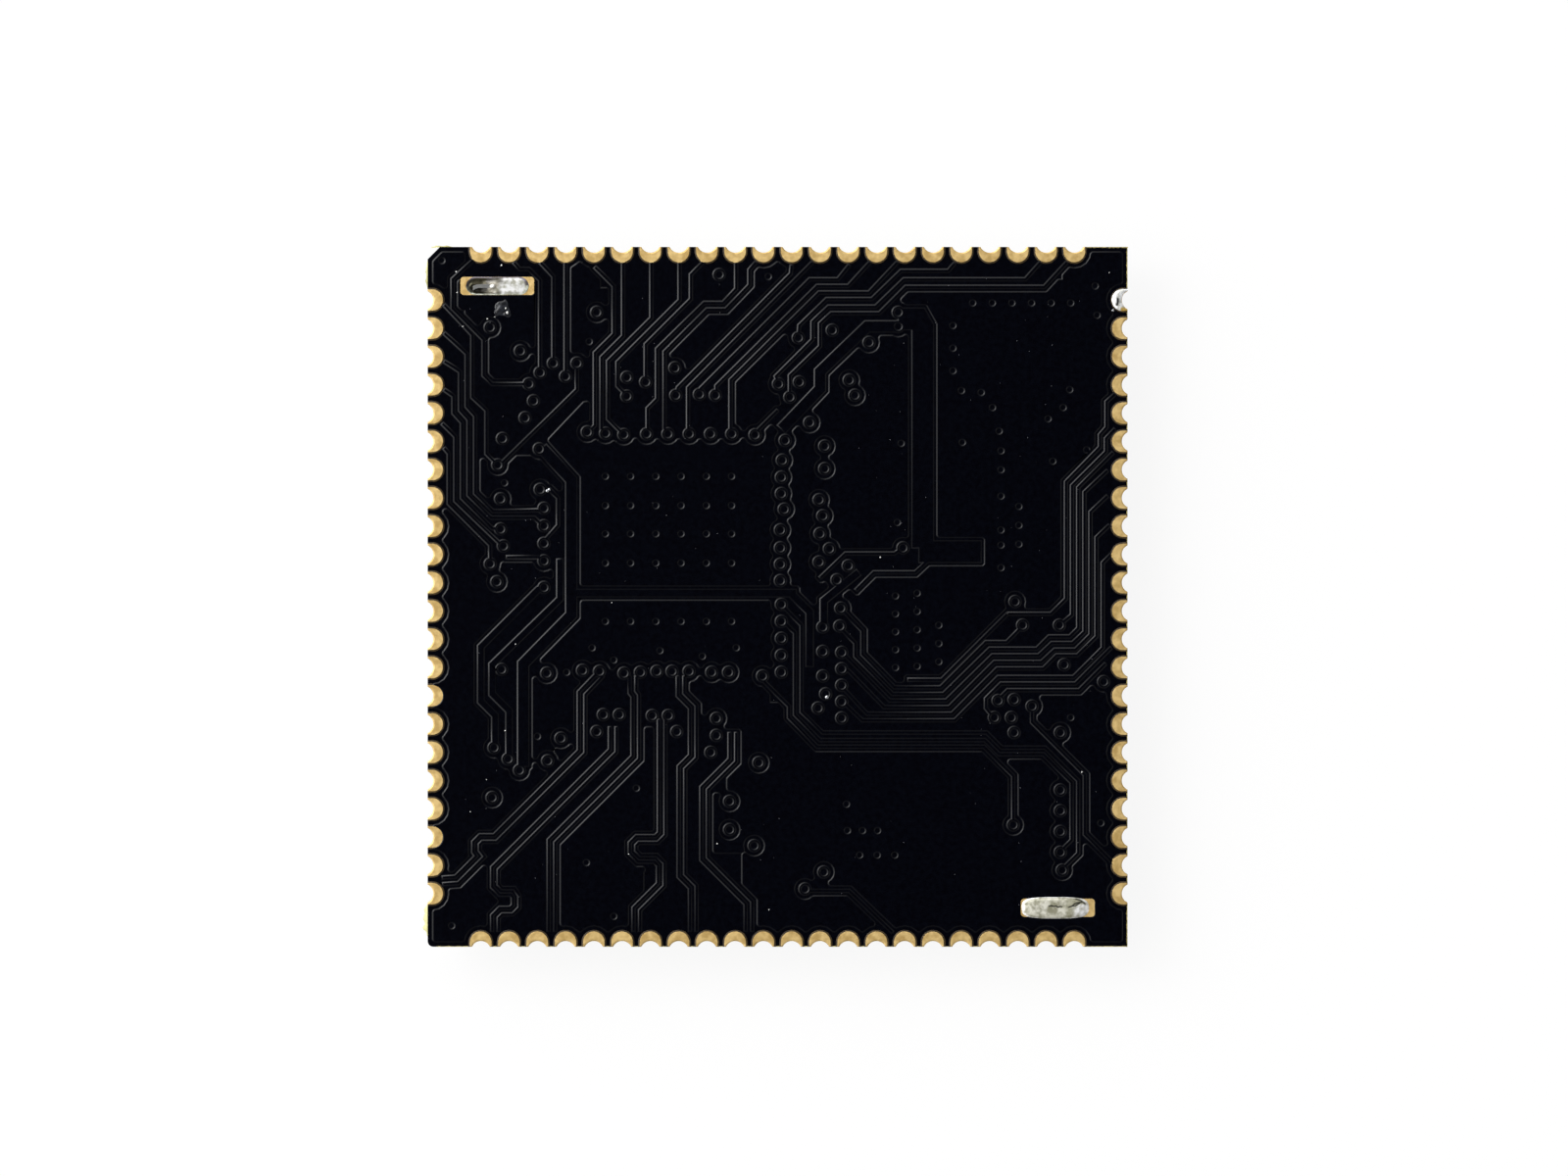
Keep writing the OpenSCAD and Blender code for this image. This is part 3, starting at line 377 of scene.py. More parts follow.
def raised_copper(name, node):
    """Copper under its mask: the node's outline with a soft slope all round in place of a sharp step."""
    s = bpy.context.scene.wifi_module
    points, faces = flat_top(node)
    border, out = outline_normals(points, faces)
    verts = points.copy()
    normals = [(0.0, 0.0, 1.0)] * len(verts)
    verts = list(map(tuple, verts))
    tilt = s.slope_angle
    middle, foot = {}, {}
    for v, (unit, stretch) in out.items():
        x, y = points[v, :2]
        inner = stretch * s.slope_inside
        outer = stretch * s.slope_outside
        verts[v] = (x - unit[0] * inner, y - unit[1] * inner, COPPER_TOP)
        middle[v] = len(verts)
        verts.append((x, y, FILM_TOP + (COPPER_TOP - FILM_TOP) * 0.5))
        normals.append((unit[0] * math.sin(tilt), unit[1] * math.sin(tilt), math.cos(tilt)))
        foot[v] = len(verts)
        verts.append((x + unit[0] * outer, y + unit[1] * outer, FILM_TOP - 0.0005 * MM))
        normals.append((0.0, 0.0, 1.0))
    quads = []
    for a, b in border:
        if a in middle and b in middle:
            quads.append((b, a, middle[a], middle[b]))
            quads.append((middle[b], middle[a], foot[a], foot[b]))
    used = sorted({i for f in list(faces) + quads for i in f})
    renumber = {old: new for new, old in enumerate(used)}
    return new_piece(name, [verts[i] for i in used],
                     [[renumber[i] for i in f] for f in list(faces) + quads],
                     "mask", (node,), [normals[i] for i in used])


def board_side(side, u, v):
    """A point u along one edge of the board and v in from it. Sides go clockwise from the top."""
    x, y = u, BOARD[1][1] - v
    for _ in range(side):
        x, y = y, -x
    return x, y


def pad_places():
    """Side and place along it of each castellation."""
    return [(side, (i - (PADS - 1) / 2) * PITCH) for side in range(4) for i in range(PADS)]


def land_outline(grow, steps):
    """Outline of a land from one end at the board's edge round to the other, grown outwards."""
    r = PAD_W / 2 + grow
    straight = PAD_REACH - PAD_W / 2
    arc = math.pi * r
    total = arc + 2 * straight
    points = []
    for k in range(steps + 1):
        d = total * k / steps
        if d < straight:
            points.append((-r, d))
        elif d > straight + arc:
            points.append((r, total - d))
        else:
            a = math.pi * (1 - (d - straight) / arc)
            points.append((r * math.cos(a), straight + r * math.sin(a)))
    return points


def hole_outline(grow, steps):
    """Outline of the half hole, from edge to edge in the same order."""
    r = HOLE_R + grow
    half = math.asin(min(1.0, HOLE_OUT / r))
    points = []
    for k in range(steps + 1):
        a = math.pi - half - (math.pi - 2 * half) * k / steps
        points.append((r * math.cos(a), r * math.sin(a) - HOLE_OUT))
    return points


def track_exits():
    """For each pad, the places on its land where a track leaves."""
    points, _ = flat_top("track_layer")
    points = points[points[:, 2] > COPPER_TOP - FLAT][:, :2]
    exits = {}
    for side, u in pad_places():
        centre = np.array(board_side(side, u, PAD_REACH - PAD_W / 2))
        gap = np.hypot(*(points - centre).T) - PAD_W / 2
        touching = points[np.abs(gap) < 0.03 * MM]
        if len(touching):
            exits[(side, u)] = touching.mean(axis=0)
    return exits


def etched(x, y, middle, tip):
    """A point of a land's outline where etching leaves it, drawn out towards the tip."""
    away = Vector((x - middle[0], y - middle[1])).normalized()
    grain = per_mm(LAND_GRAIN_MM)
    rough = LAND_ROUGH * noise.noise(Vector((x * grain, y * grain, 0.5)))
    if tip is not None:
        to_tip = Vector((tip[0] - middle[0], tip[1] - middle[1])).normalized()
        turn = max(-1.0, min(1.0, to_tip.dot(away)))
        rough += TIP_REACH * math.exp(-(math.acos(turn) / TIP_ANGLE) ** 2)
    return x + away[0] * rough, y + away[1] * rough


def plated_half_holes():
    """Lands on both faces and the plated wall between them, with a rolled rim at the hole."""
    steps = 24
    top, low = LAND_TOP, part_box("castellated_pads")[0][2]
    face, back = BOARD[1][2], BOARD[0][2]
    # Outline, how far it is grown, and height: up the land, over the rim, down the wall and back
    profile = (
        ("land", 0.0, face), ("land", 0.0, top - LAND_ROUND), ("land", -LAND_ROUND, top),
        ("hole", 0.075 * MM, top), ("hole", 0.05 * MM, top - 0.004 * MM),
        ("hole", 0.026 * MM, top - 0.016 * MM), ("hole", 0.008 * MM, top - 0.036 * MM),
        ("hole", 0.0, top - 0.07 * MM),
        ("hole", 0.0, low + 0.11 * MM), ("hole", 0.03 * MM, low + 0.03 * MM), ("hole", 0.12 * MM, low),
        ("land", -LAND_ROUND, low), ("land", 0.0, low + LAND_ROUND), ("land", 0.0, back),
        ("hole", PLATING, back), ("hole", PLATING, face),
    )
    exits = track_exits()
    verts, faces = [], []
    for side, u in pad_places():
        start = len(verts)
        middle = board_side(side, u, PAD_REACH - PAD_W / 2)
        for kind, grow, z in profile:
            outline = land_outline(grow, steps) if kind == "land" else hole_outline(grow, steps)
            for px, py in outline:
                x, y = board_side(side, u + px, py)
                if kind == "land" and py > LAND_CLEAN:
                    x, y = etched(x, y, middle, exits.get((side, u)))
                verts.append((x, y, z))
        rows = len(profile)
        n = steps + 1
        for r in range(rows):
            a, b = start + r * n, start + ((r + 1) % rows) * n
            for k in range(steps):
                faces.append((a + k, a + k + 1, b + k + 1, b + k))
        faces.append(tuple(start + r * n for r in range(rows)))
        faces.append(tuple(start + r * n + steps for r in reversed(range(rows))))
    obj = new_piece("plated_half_holes", verts, faces, "gold", ("castellated_pads",))
    # Level faces are shaded flat, walls and rims smooth
    obj.data.polygons.foreach_set("use_smooth", [len(p.vertices) == 4 and abs(p.normal.z) < 0.999
                                                 for p in obj.data.polygons])
    return obj


def mask_rims():
    """The thin, browner mask that climbs each land's edge."""
    steps = 20
    profile = ((-0.004 * MM, LAND_TOP - 0.006 * MM), (0.03 * MM, FILM_TOP + 0.010 * MM),
               (0.075 * MM, FILM_TOP + 0.0008 * MM))
    verts, faces = [], []
    for side, u in pad_places():
        start = len(verts)
        for grow, z in profile:
            for px, py in land_outline(grow, steps):
                x, y = board_side(side, u + px, py)
                verts.append((x, y, z))
        n = steps + 1
        for r in range(len(profile) - 1):
            for k in range(steps):
                a = start + r * n + k
                faces.append((a, a + 1, a + n + 1, a + n))
    return new_piece("mask_rims", verts, faces, "rim")


def superellipse(half_l, half_w, power, steps):
    """Points of a superellipse, between an ellipse and a box, counter-clockwise."""
    points = []
    e = 2.0 / power
    for k in range(steps):
        a = 2 * math.pi * k / steps
        c, q = math.cos(a), math.sin(a)
        points.append((half_l * math.copysign(abs(c) ** e, c), half_w * math.copysign(abs(q) ** e, q)))
    return points


def stadium(end, radius, arc=32, side=30):
    """Points of a stadium, counter-clockwise, whose round ends are centred at plus and minus end."""
    points = []
    for sign in (1, -1):
        for k in range(arc):
            a = math.pi * (k / arc - 0.5 * sign)
            points.append((sign * end + radius * math.cos(a), radius * math.sin(a)))
        points.extend((sign * end * (1 - 2 * k / side), sign * radius) for k in range(side))
    return points


def paint(obj, tones):
    """Stores one colour for each vertex, which the solder's material reads."""
    layer = obj.data.attributes.new("tone", "FLOAT_COLOR", "POINT")
    layer.data.foreach_set("color", np.array([(*t[:3], 1.0) for t in tones], dtype=np.float32).ravel())


def ease(t):
    """From 0 to 1 with soft ends."""
    t = max(0.0, min(1.0, t))
    return t * t * (3 - 2 * t)


def blend(a, b, t):
    """Two colours mixed softly: the first at t of 0 or less, the second at 1 or more."""
    t = ease(t)
    return tuple(p * (1 - t) + q * t for p, q in zip(a, b))


def blob(name, centre, outline, height_at, tone_at, replaced, rings):
    """A surface over an outline given about its centre. Its height and colour come from functions of x, y
    and r, where r goes from 0 at the middle to 1 at the outline. height_at works in metres and tone_at in
    millimetres."""
    n = len(outline)
    local = [(0.0, 0.0, 0.0)]
    for ring in range(1, rings + 1):
        r = ring / rings
        local.extend((x * r, y * r, r) for x, y in outline)
    verts = [(centre[0] + x, centre[1] + y, height_at(x, y, r)) for x, y, r in local]
    faces = [(0, 1 + k, 1 + (k + 1) % n) for k in range(n)]
    for ring in range(rings - 1):
        a = 1 + ring * n
        for k in range(n):
            faces.append((a + k, a + n + k, a + n + (k + 1) % n, a + (k + 1) % n))
    # A skirt down into the board, so that the edge is closed
    a = 1 + (rings - 1) * n
    skirt = len(verts)
    for x, y in outline:
        local.append((x, y, 1.0))
        verts.append((centre[0] + x, centre[1] + y, height_at(x, y, 1.0) - 0.03 * MM))
    for k in range(n):
        faces.append((a + k, skirt + k, skirt + (k + 1) % n, a + (k + 1) % n))
    obj = new_piece(name, verts, faces, "frozen_solder", replaced)
    paint(obj, [tone_at(x / MM, y / MM, r) for x, y, r in local])
    return obj


def wave(x, y, size_mm, seed):
    """Smooth noise between -1 and 1 with waves of the given size."""
    k = per_mm(size_mm)
    return noise.noise(Vector((x * k + seed, y * k - seed, seed * 0.37)))


def near(x, y, path, width):
    """How close a point is to a line of points: 1 on the line and 0 beyond width."""
    best = math.inf
    for (ax, ay), (bx, by) in zip(path, path[1:]):
        dx, dy = bx - ax, by - ay
        t = max(0.0, min(1.0, ((x - ax) * dx + (y - ay) * dy) / (dx * dx + dy * dy)))
        best = min(best, math.hypot(x - ax - t * dx, y - ay - t * dy))
    return max(0.0, 1.0 - best / width)


# Creases in the long bead, in millimetres from its middle
FULL_CREASES = (
    ((-0.32, 0.08), (-0.2, 0.11), (-0.08, 0.07), (0.05, 0.1), (0.14, 0.03), (0.26, 0.07), (0.36, 0.06)),
    ((0.72, 0.03), (0.9, 0.09), (1.0, 0.2), (1.2, 0.27), (1.4, 0.3)),
    ((0.9, 0.09), (1.1, 0.12), (1.3, 0.24)),
    ((1.1, 0.47), (1.35, 0.4), (1.6, 0.2)),
)


def full_slot_solder():
    """Solder that has risen through the slot and frozen as a long bead over its pad."""
    low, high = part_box("slot_solder_full")
    cx, cy = (low[0] + high[0]) / 2 - 0.14 * MM, (low[1] + high[1]) / 2
    half_l, half_w = 1.82 * MM, 0.6 * MM

    def height_at(x, y, r):
        bead = 0.125 * MM * (1 - r ** 7.0)
        crown = 0.018 * MM * (1 - (y / half_w) ** 2)
        ripple = 0.012 * MM * wave(x, y * 1.6, 0.45, 3.1) * (1 - r ** 6)
        crease = max(near(x / MM, y / MM, path, 0.06) for path in FULL_CREASES)
        return FILM_TOP - 0.004 * MM + bead + crown * (1 - r ** 4) + ripple - 0.022 * MM * crease

    def tone_at(x, y, r):
        shade = wave(x * MM, y * MM, 0.5, 6.0)
        tone = blend(linear("#b6b49b")[:3], linear("#eeecdf")[:3], 0.55 + 0.5 * shade - 0.12 * x)
        # Painted highlight: a white patch over the right end, below a slanting line
        patch = min(1.0, max(0.0, (x - 0.75) / 0.5)) * (1.0 if y < 0.12 + 0.12 * (x - 0.8) else 0.0)
        tone = blend(tone, (0.96, 0.96, 0.95), patch)
        # Painted shade: a darker olive ring on the bead's flank, stronger on its upper side
        ring = near(r, 0.0, ((0.86, 0.0), (0.87, 0.0)), 0.06) * (0.35 + 0.5 * max(0.0, y))
        tone = blend(tone, linear("#77735a")[:3], ring)
        # Painted shade: the creases are darkened
        tone = blend(tone, linear("#24241a")[:3], 1.5 * max(near(x, y, path, 0.055) for path in FULL_CREASES))
        # Painted highlight: the bead's edge turns white all round
        return blend(tone, (0.97, 0.97, 0.97), (r - 0.88) / 0.05)

    blob("slot_bead_full", (cx, cy), superellipse(half_l, half_w, 3.4, 160), height_at, tone_at,
         ("slot_solder_full",), rings=34)


def part_slot_solder():
    """Solder that fills one end of the slot and lies low at the other, round the end of the tab."""
    low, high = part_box("slot_solder_part")
    cx, cy = (low[0] + high[0]) / 2, (low[1] + high[1]) / 2
    slot_l, slot_w = (high[0] - low[0]) / 2, (high[1] - low[1]) / 2
    half_l, half_w = slot_l - 0.01 * MM, slot_w + 0.075 * MM

    def height_at(x, y, r):
        t = ease((x + 0.85 * MM) / (1.0 * MM))
        deep = BOARD[1][2] - 0.22 * MM + 0.05 * MM * wave(x, y, 0.3, 8.0)
        full = LAND_TOP + 0.035 * MM + 0.02 * MM * wave(x, y, 0.5, 1.7)
        knob = 0.09 * MM * math.exp(-((x + 0.28 * MM) ** 2 + (y + 0.01 * MM) ** 2) / (0.12 * MM) ** 2)
        inside = slot_w - math.hypot(max(abs(x) - (slot_l - slot_w), 0.0), y)
        band = ease(inside / (0.12 * MM))
        rim = LAND_TOP + 0.012 * MM * (1 - r ** 8)
        return rim * (1 - band) + (deep * (1 - t) + full * t) * band + knob * band

    def tone_at(x, y, r):
        shade = wave(x * MM, y * MM, 0.35, 4.0)
        along = x + 0.25 * shade
        # Painted shade: the solder darkens through grey to olive black towards the deep end of the slot
        tone = blend(linear("#1e1a0b")[:3], linear("#8b867a")[:3], (along + 0.75) / 0.45)
        tone = blend(tone, (0.95, 0.95, 0.94), (along + 0.1) / 0.45)
        # Painted shade: darker grey over the middle of the bead, most on its upper side; along its upper side
        # the dark end is a lighter olive
        tone = blend(tone, linear("#6d6a66")[:3], (0.75 * (y > 0.2) + 0.4 * shade) * (x > -0.6) * (x < 0.3))
        tone = blend(tone, linear("#5b5642")[:3], 0.9 * (y > 0.1) * (x < -0.6))
        glints = max(near(x, y, ((-1.5, 0.02), (-1.42, 0.13)), 0.07),
                     near(x, y, ((-1.3, -0.03), (-0.9, -0.04)), 0.04))
        tone = blend(tone, linear("#d9d6ae")[:3], glints)
        # Painted highlight: a white spot on the knob
        tone = blend(tone, (1.0, 1.0, 1.0), 1.4 * near(x, y, ((-0.34, -0.02), (-0.24, 0.0)), 0.12))
        # Painted rim light: the edge is pale greenish white below and shaded lilac grey above, faint near the
        # left end
        edge = (r - 0.87) / 0.05
        side = linear("#8f8894")[:3] if y > 0 else linear("#eef2e4")[:3]
        return blend(tone, side, edge if x > -1.35 else edge * 0.3)

    blob("slot_bead_part", (cx, cy), stadium(half_l - half_w, half_w), height_at, tone_at,
         ("slot_solder_part",), rings=30)


# A dark mark across the tinned land, in millimetres from the module's middle
LAND_MARK = ((18.02, 15.5), (18.06, 15.66), (18.05, 15.8))


def tinned_land():
    """Solder wetted over one land, thick in the middle and thin at its edge."""
    side, u = 1, -(PADS - 1) / 2 * PITCH
    steps, rows = 48, 17
    outer = land_outline(0.012 * MM, steps)
    inner = hole_outline(0.02 * MM, steps)
    verts, faces, tones = [], [], []
    gold = linear("#d9b45c")[:3]
    for r in range(rows):
        t = r / (rows - 1)
        for k in range(steps + 1):
            px = outer[k][0] * (1 - t) + inner[k][0] * t
            py = outer[k][1] * (1 - t) + inner[k][1] * t
            x, y = board_side(side, u + px, py)
            swell = 0.075 * MM * math.sin(math.pi * min(1.0, t * 0.92 + 0.02)) ** 0.7
            mark = near(x / MM, y / MM, LAND_MARK, 0.09)
            verts.append((x, y, LAND_TOP - 0.012 * MM + swell - 0.02 * MM * mark
                          + 0.008 * MM * wave(x, y, 0.22, 5.0)))
            tone = blend((0.93, 0.94, 0.95), linear("#9a9a98")[:3], 0.5 * wave(x, y, 0.25, 2.0))
            tone = blend(tone, linear("#1f2022")[:3], 1.6 * mark)
            tones.append(blend(tone, gold, (15.42 - y / MM) / 0.12 * (x / MM > 18.2)))
    n = steps + 1
    for r in range(rows - 1):
        for k in range(steps):
            a = r * n + k
            faces.append((a, a + 1, a + n + 1, a + n))
    # Down the wall of the half hole
    base = len(verts)
    for px, py in hole_outline(-0.01 * MM, steps):
        x, y = board_side(side, u + px, py)
        verts.append((x, y, BOARD[0][2]))
        tones.append((0.6, 0.6, 0.58))
    a = (rows - 1) * n
    for k in range(steps):
        faces.append((a + k, a + k + 1, base + k + 1, base + k))
    obj = new_piece("tinned_land", verts, faces, "frozen_solder", ("tinned_pad_solder",))
    paint(obj, tones)


def lump(x, y, size, flat, seed, detail):
    """A small irregular grain lying on the mask."""
    mesh = bmesh.new()
    bmesh.ops.create_icosphere(mesh, subdivisions=detail, radius=size / 2)
    for v in mesh.verts:
        v.co *= 1 + 0.45 * noise.noise(v.co * (2.2 / size) + Vector((seed, seed, 0)))
        v.co.z *= flat
    verts = [(v.co.x + x, v.co.y + y, v.co.z + COPPER_TOP) for v in mesh.verts]
    faces = [[v.index for v in f.verts] for f in mesh.faces]
    mesh.free()
    return verts, faces


def grains(name, places, mat, flat=0.5, detail=2):
    """Several grains as one piece: rows of x, y and size in millimetres."""
    verts, faces = [], []
    for k, (x, y, size) in enumerate(places):
        v, f = lump(x * MM, y * MM, size * MM, flat, k * 1.7, detail)
        base = len(verts)
        verts += v
        faces += [[i + base for i in face] for face in f]
    return new_piece(name, verts, faces, mat)


def edge_fibres(name, side, start, end, out, seed):
    """Ragged laminate left by the router along part of an edge, standing out by up to the given width."""
    rng = random.Random(seed)
    count = max(6, int((end - start) / FIBRE_STEP))
    verts, faces = [], []
    levels = [BOARD[1][2] - 0.03 * MM, BOARD[1][2] - 0.22 * MM, BOARD[0][2] + 0.3 * MM]
    for k in range(count + 1):
        u = start + (end - start) * k / count
        fade = min(1.0, 4.0 * k / count, 4.0 * (count - k) / count)
        reach = out * fade * (0.55 + 0.45 * math.sin(k * 0.55 + seed) ** 2) * (0.8 + 0.3 * rng.random())
        for j, z in enumerate(levels):
            x, y = board_side(side, u, -reach * (1.0, 0.8, 0.25)[j])
            verts.append((x, y, z))
        x, y = board_side(side, u, 0.03 * MM)
        verts.append((x, y, BOARD[1][2] + 0.004 * MM))
    for k in range(count):
        a, b = k * 4, (k + 1) * 4
        faces.append((a + 3, b + 3, b, a))
        faces.append((a, b, b + 1, a + 1))
        faces.append((a + 1, b + 1, b + 2, a + 2))
    return new_piece(name, verts, faces, "laminate")


def bare_edge_line(name, side, start, end, width, seed):
    """A line of laminate that the mask leaves bare along an edge, broken by the pads."""
    rng = random.Random(seed)
    verts, faces = [], []
    step = 0.12 * MM
    u = start
    pads = [p for s, p in pad_places() if s == side]
    while u < end:
        clear = all(abs(u + step / 2 - p) > PAD_W / 2 + 0.02 * MM for p in pads)
        if clear:
            w = width * (0.7 + 0.5 * rng.random())
            base = len(verts)
            for du in (0, step * 1.02):
                for v in (-0.001 * MM, w):
                    x, y = board_side(side, u + du, v)
                    verts.append((x, y, FILM_TOP + 0.0015 * MM))
            faces.append((base, base + 2, base + 3, base + 1))
        u += step
    return new_piece(name, verts, faces, "laminate_edge", smooth=False)


class WifiModuleSettings(bpy.types.PropertyGroup):
    slope_inside: FloatProperty(name="Slope inside",
                                description="How far the copper's rounded shoulder reaches in",
                                default=0.055 * MM, unit="LENGTH", precision=6)
    slope_outside: FloatProperty(name="Slope outside",
                                 description="How far the mask's fillet reaches out from the copper",
                                 default=0.07 * MM, unit="LENGTH", precision=6)
    slope_angle: FloatProperty(name="Slope angle",
                               description="Steepest tilt of the mask over the copper's edge",
                               default=math.radians(26), subtype="ANGLE")
    mask_colour: FloatVectorProperty(name="Mask colour", description="Solder mask", subtype="COLOR",
                                     default=linear("#04050b")[:3], min=0, max=1)
    mask_roughness: FloatProperty(name="Mask roughness", description="Roughness of the cured mask",
                                  default=0.2, subtype="FACTOR", min=0, max=1)
    mask_gloss: FloatProperty(name="Mask gloss", description="Strength of the mask's reflections", default=0.2,
                              subtype="FACTOR", min=0, max=1)
    gold_colour: FloatVectorProperty(name="Gold colour", description="Immersion gold", subtype="COLOR",
                                     default=linear("#e8cc8e")[:3], min=0, max=1)
    laminate_colour: FloatVectorProperty(name="Laminate colour", description="Glass epoxy", subtype="COLOR",
                                         default=linear("#cfcb92")[:3], min=0, max=1)
    edge_round: FloatProperty(name="Edge rounding", description="Rounding of the gold lands' edges",
                              default=0.014 * MM, unit="LENGTH", precision=6)
    dust_seed: IntProperty(name="Dust seed", description="Seed of the shapes of dust and crumbs", default=4)
    lens: FloatProperty(name="Lens", description="Focal length", default=120.0, unit="CAMERA")
    frame_width: FloatProperty(name="Width in view", description="Width of the picture at the solder side",
                               default=83.2 * MM, unit="LENGTH")
    key_power: FloatProperty(name="Key lamp", description="Power of the key lamp", default=0.6, unit="POWER")
    fill_power: FloatProperty(name="Fill lamp", description="Power of the fill lamp",
                              default=0.08, unit="POWER")
    light_azimuth: FloatProperty(name="Light direction", description="Bearing of the broad light",
                                 default=math.radians(150), subtype="ANGLE")
    ring_low: FloatProperty(name="Level away from light", description="World level away from the light",
                            default=0.3)
    ring_high: FloatProperty(name="Level at light", description="World level towards the light", default=3.0)
    floor_colour: FloatVectorProperty(name="Floor colour", description="Plain floor", subtype="COLOR",
                                      default=linear("#f4f4f4")[:3], min=0, max=1)


class WIFI_OT_mask_and_copper(bpy.types.Operator):
    """Solder mask films and the copper that stands under them"""
    bl_idname = "wifi.mask_and_copper"
    bl_label = "Mask and copper"

    def execute(self, context):
        finish_node("solder_side_mask", "mask")
        finish_node("component_side_mask", "mask")
        raised_copper("ground_copper_relief", "ground_layer")
        raised_copper("track_relief", "track_layer")
        return {"FINISHED"}


class WIFI_OT_castellations(bpy.types.Operator):
    """Gold lands and plated half holes"""
    bl_idname = "wifi.castellations"
    bl_label = "Castellations"

    def execute(self, context):
        s = context.scene.wifi_module
        plated_half_holes()
        mask_rims()
        for node in ("slot_plating", "shield_frame_land"):
            obj = finish_node(node, "gold")
            weld = obj.modifiers.new("weld", "WELD")
            weld.merge_threshold = 1e-6
            bevel = obj.modifiers.new("rounded_edges", "BEVEL")
            bevel.width = s.edge_round
            bevel.segments = 2
            bevel.limit_method = "ANGLE"
            bevel.angle_limit = math.radians(50)
            bevel.use_clamp_overlap = True
        return {"FINISHED"}


class WIFI_OT_solder(bpy.types.Operator):
    """Solder in the slots and on the tinned pad"""
    bl_idname = "wifi.solder"
    bl_label = "Solder"

    def execute(self, context):
        full_slot_solder()
        part_slot_solder()
        tinned_land()
        # Bright bits of solder in two vias and beside the tinned land
        bits = ((-12.22, 5.62, 0.16), (-12.12, 5.7, 0.14), (2.62, -5.32, 0.2), (17.8, 15.2, 0.14))
        grains("solder_bits", bits, "solder", flat=0.4)
        return {"FINISHED"}


class WIFI_OT_board(bpy.types.Operator):
    """The laminate"""
    bl_idname = "wifi.board"
    bl_label = "Laminate"

    def execute(self, context):
        finish_node("pcb_laminate", "laminate")
        edge_fibres("edge_fibres_low", 3, -18.05 * MM, -16.25 * MM, 0.27 * MM, 2)
        edge_fibres("edge_fibres_high", 3, 16.3 * MM, 17.9 * MM, 0.12 * MM, 5)
        edge_fibres("edge_fibres_corner", 0, -18.4 * MM, -17.2 * MM, 0.08 * MM, 9)
        bare_edge_line("edge_line_right", 1, -18.5 * MM, 18.5 * MM, 0.05 * MM, 1)
        bare_edge_line("edge_line_bottom", 2, -18.5 * MM, 18.0 * MM, 0.04 * MM, 2)
        bare_edge_line("edge_line_top", 0, 15.6 * MM, 18.5 * MM, 0.05 * MM, 3)
        return {"FINISHED"}


class WIFI_OT_shield_can(bpy.types.Operator):
    """The shield can"""
    bl_idname = "wifi.shield_can"
    bl_label = "Shield can"

    def execute(self, context):
        finish_node("shield_can", "can")
        return {"FINISHED"}


class WIFI_OT_residue(bpy.types.Operator):
    """Dust and a crumb of burnt flux that lie on the mask, with white grains on the crumb as painted
    highlights
    """
    bl_idname = "wifi.residue"
    bl_label = "Dust and residue"

    def execute(self, context):
        dust = ((-17.05, 17.25, 0.09), (-17.0, 16.15, 0.08), (-14.65, 17.6, 0.1), (-15.4, 14.75, 0.08),
                (-8.8, -0.3, 0.07), (5.45, 2.1, 0.09), (-7.9, -13.65, 0.06), (-3.2, -13.1, 0.08),
                (-0.45, -16.6, 0.07), (16.15, -9.3, 0.09), (-15.45, -9.7, 0.06), (-16.3, -11.4, 0.06),
                (-13.9, -2.5, 0.07), (-14.45, -7.1, 0.08), (-16.7, 14.35, 0.07), (17.6, 17.2, 0.06))
        grains("dust", dust, "dust", flat=0.35, detail=1)
        rng = random.Random(context.scene.wifi_module.dust_seed)
        fine = [(rng.uniform(-17, 17), rng.uniform(-17, 17), rng.uniform(0.02, 0.04)) for _ in range(160)]
        grains("fine_dust", fine, "grey_dust", flat=0.35, detail=1)
        crumb = ((-14.6, 15.3, 0.75), (-14.35, 15.05, 0.4), (-14.85, 15.1, 0.35), (-14.5, 15.55, 0.35))
        grains("flux_crumb", crumb, "crumb", flat=0.16, detail=4)
        # Painted highlights: white grains of the dust's material stand for glints on the crumb
        glints = ((-14.42, 15.3, 0.13), (-14.34, 15.08, 0.15), (-14.9, 15.3, 0.07), (-15.0, 14.85, 0.07))
        grains("crumb_glints", glints, "dust", flat=1.0, detail=2)
        return {"FINISHED"}


class WIFI_OT_inner_parts(bpy.types.Operator):
    """The parts sealed in the can"""
    bl_idname = "wifi.inner_parts"
    bl_label = "Parts inside the can"

    def execute(self, context):
        finishes = {
            "processor": "package", "memory_chip": "package", "flash_chip": "package",
            "radio_amplifier": "package", "resistors": "package", "crystal_base": "crystal",
            "crystal_lid": "can", "power_inductors": "ferrite", "capacitors": "capacitor",
            "radio_filters": "filter", "processor_joints": "solder", "memory_balls": "solder",
            "flash_joints": "solder", "radio_joints": "solder", "inductor_joints": "solder",
            "chip_joints": "solder", "filter_joints": "solder",
        }
        for node, name in finishes.items():
            finish_node(node, name)
        return {"FINISHED"}


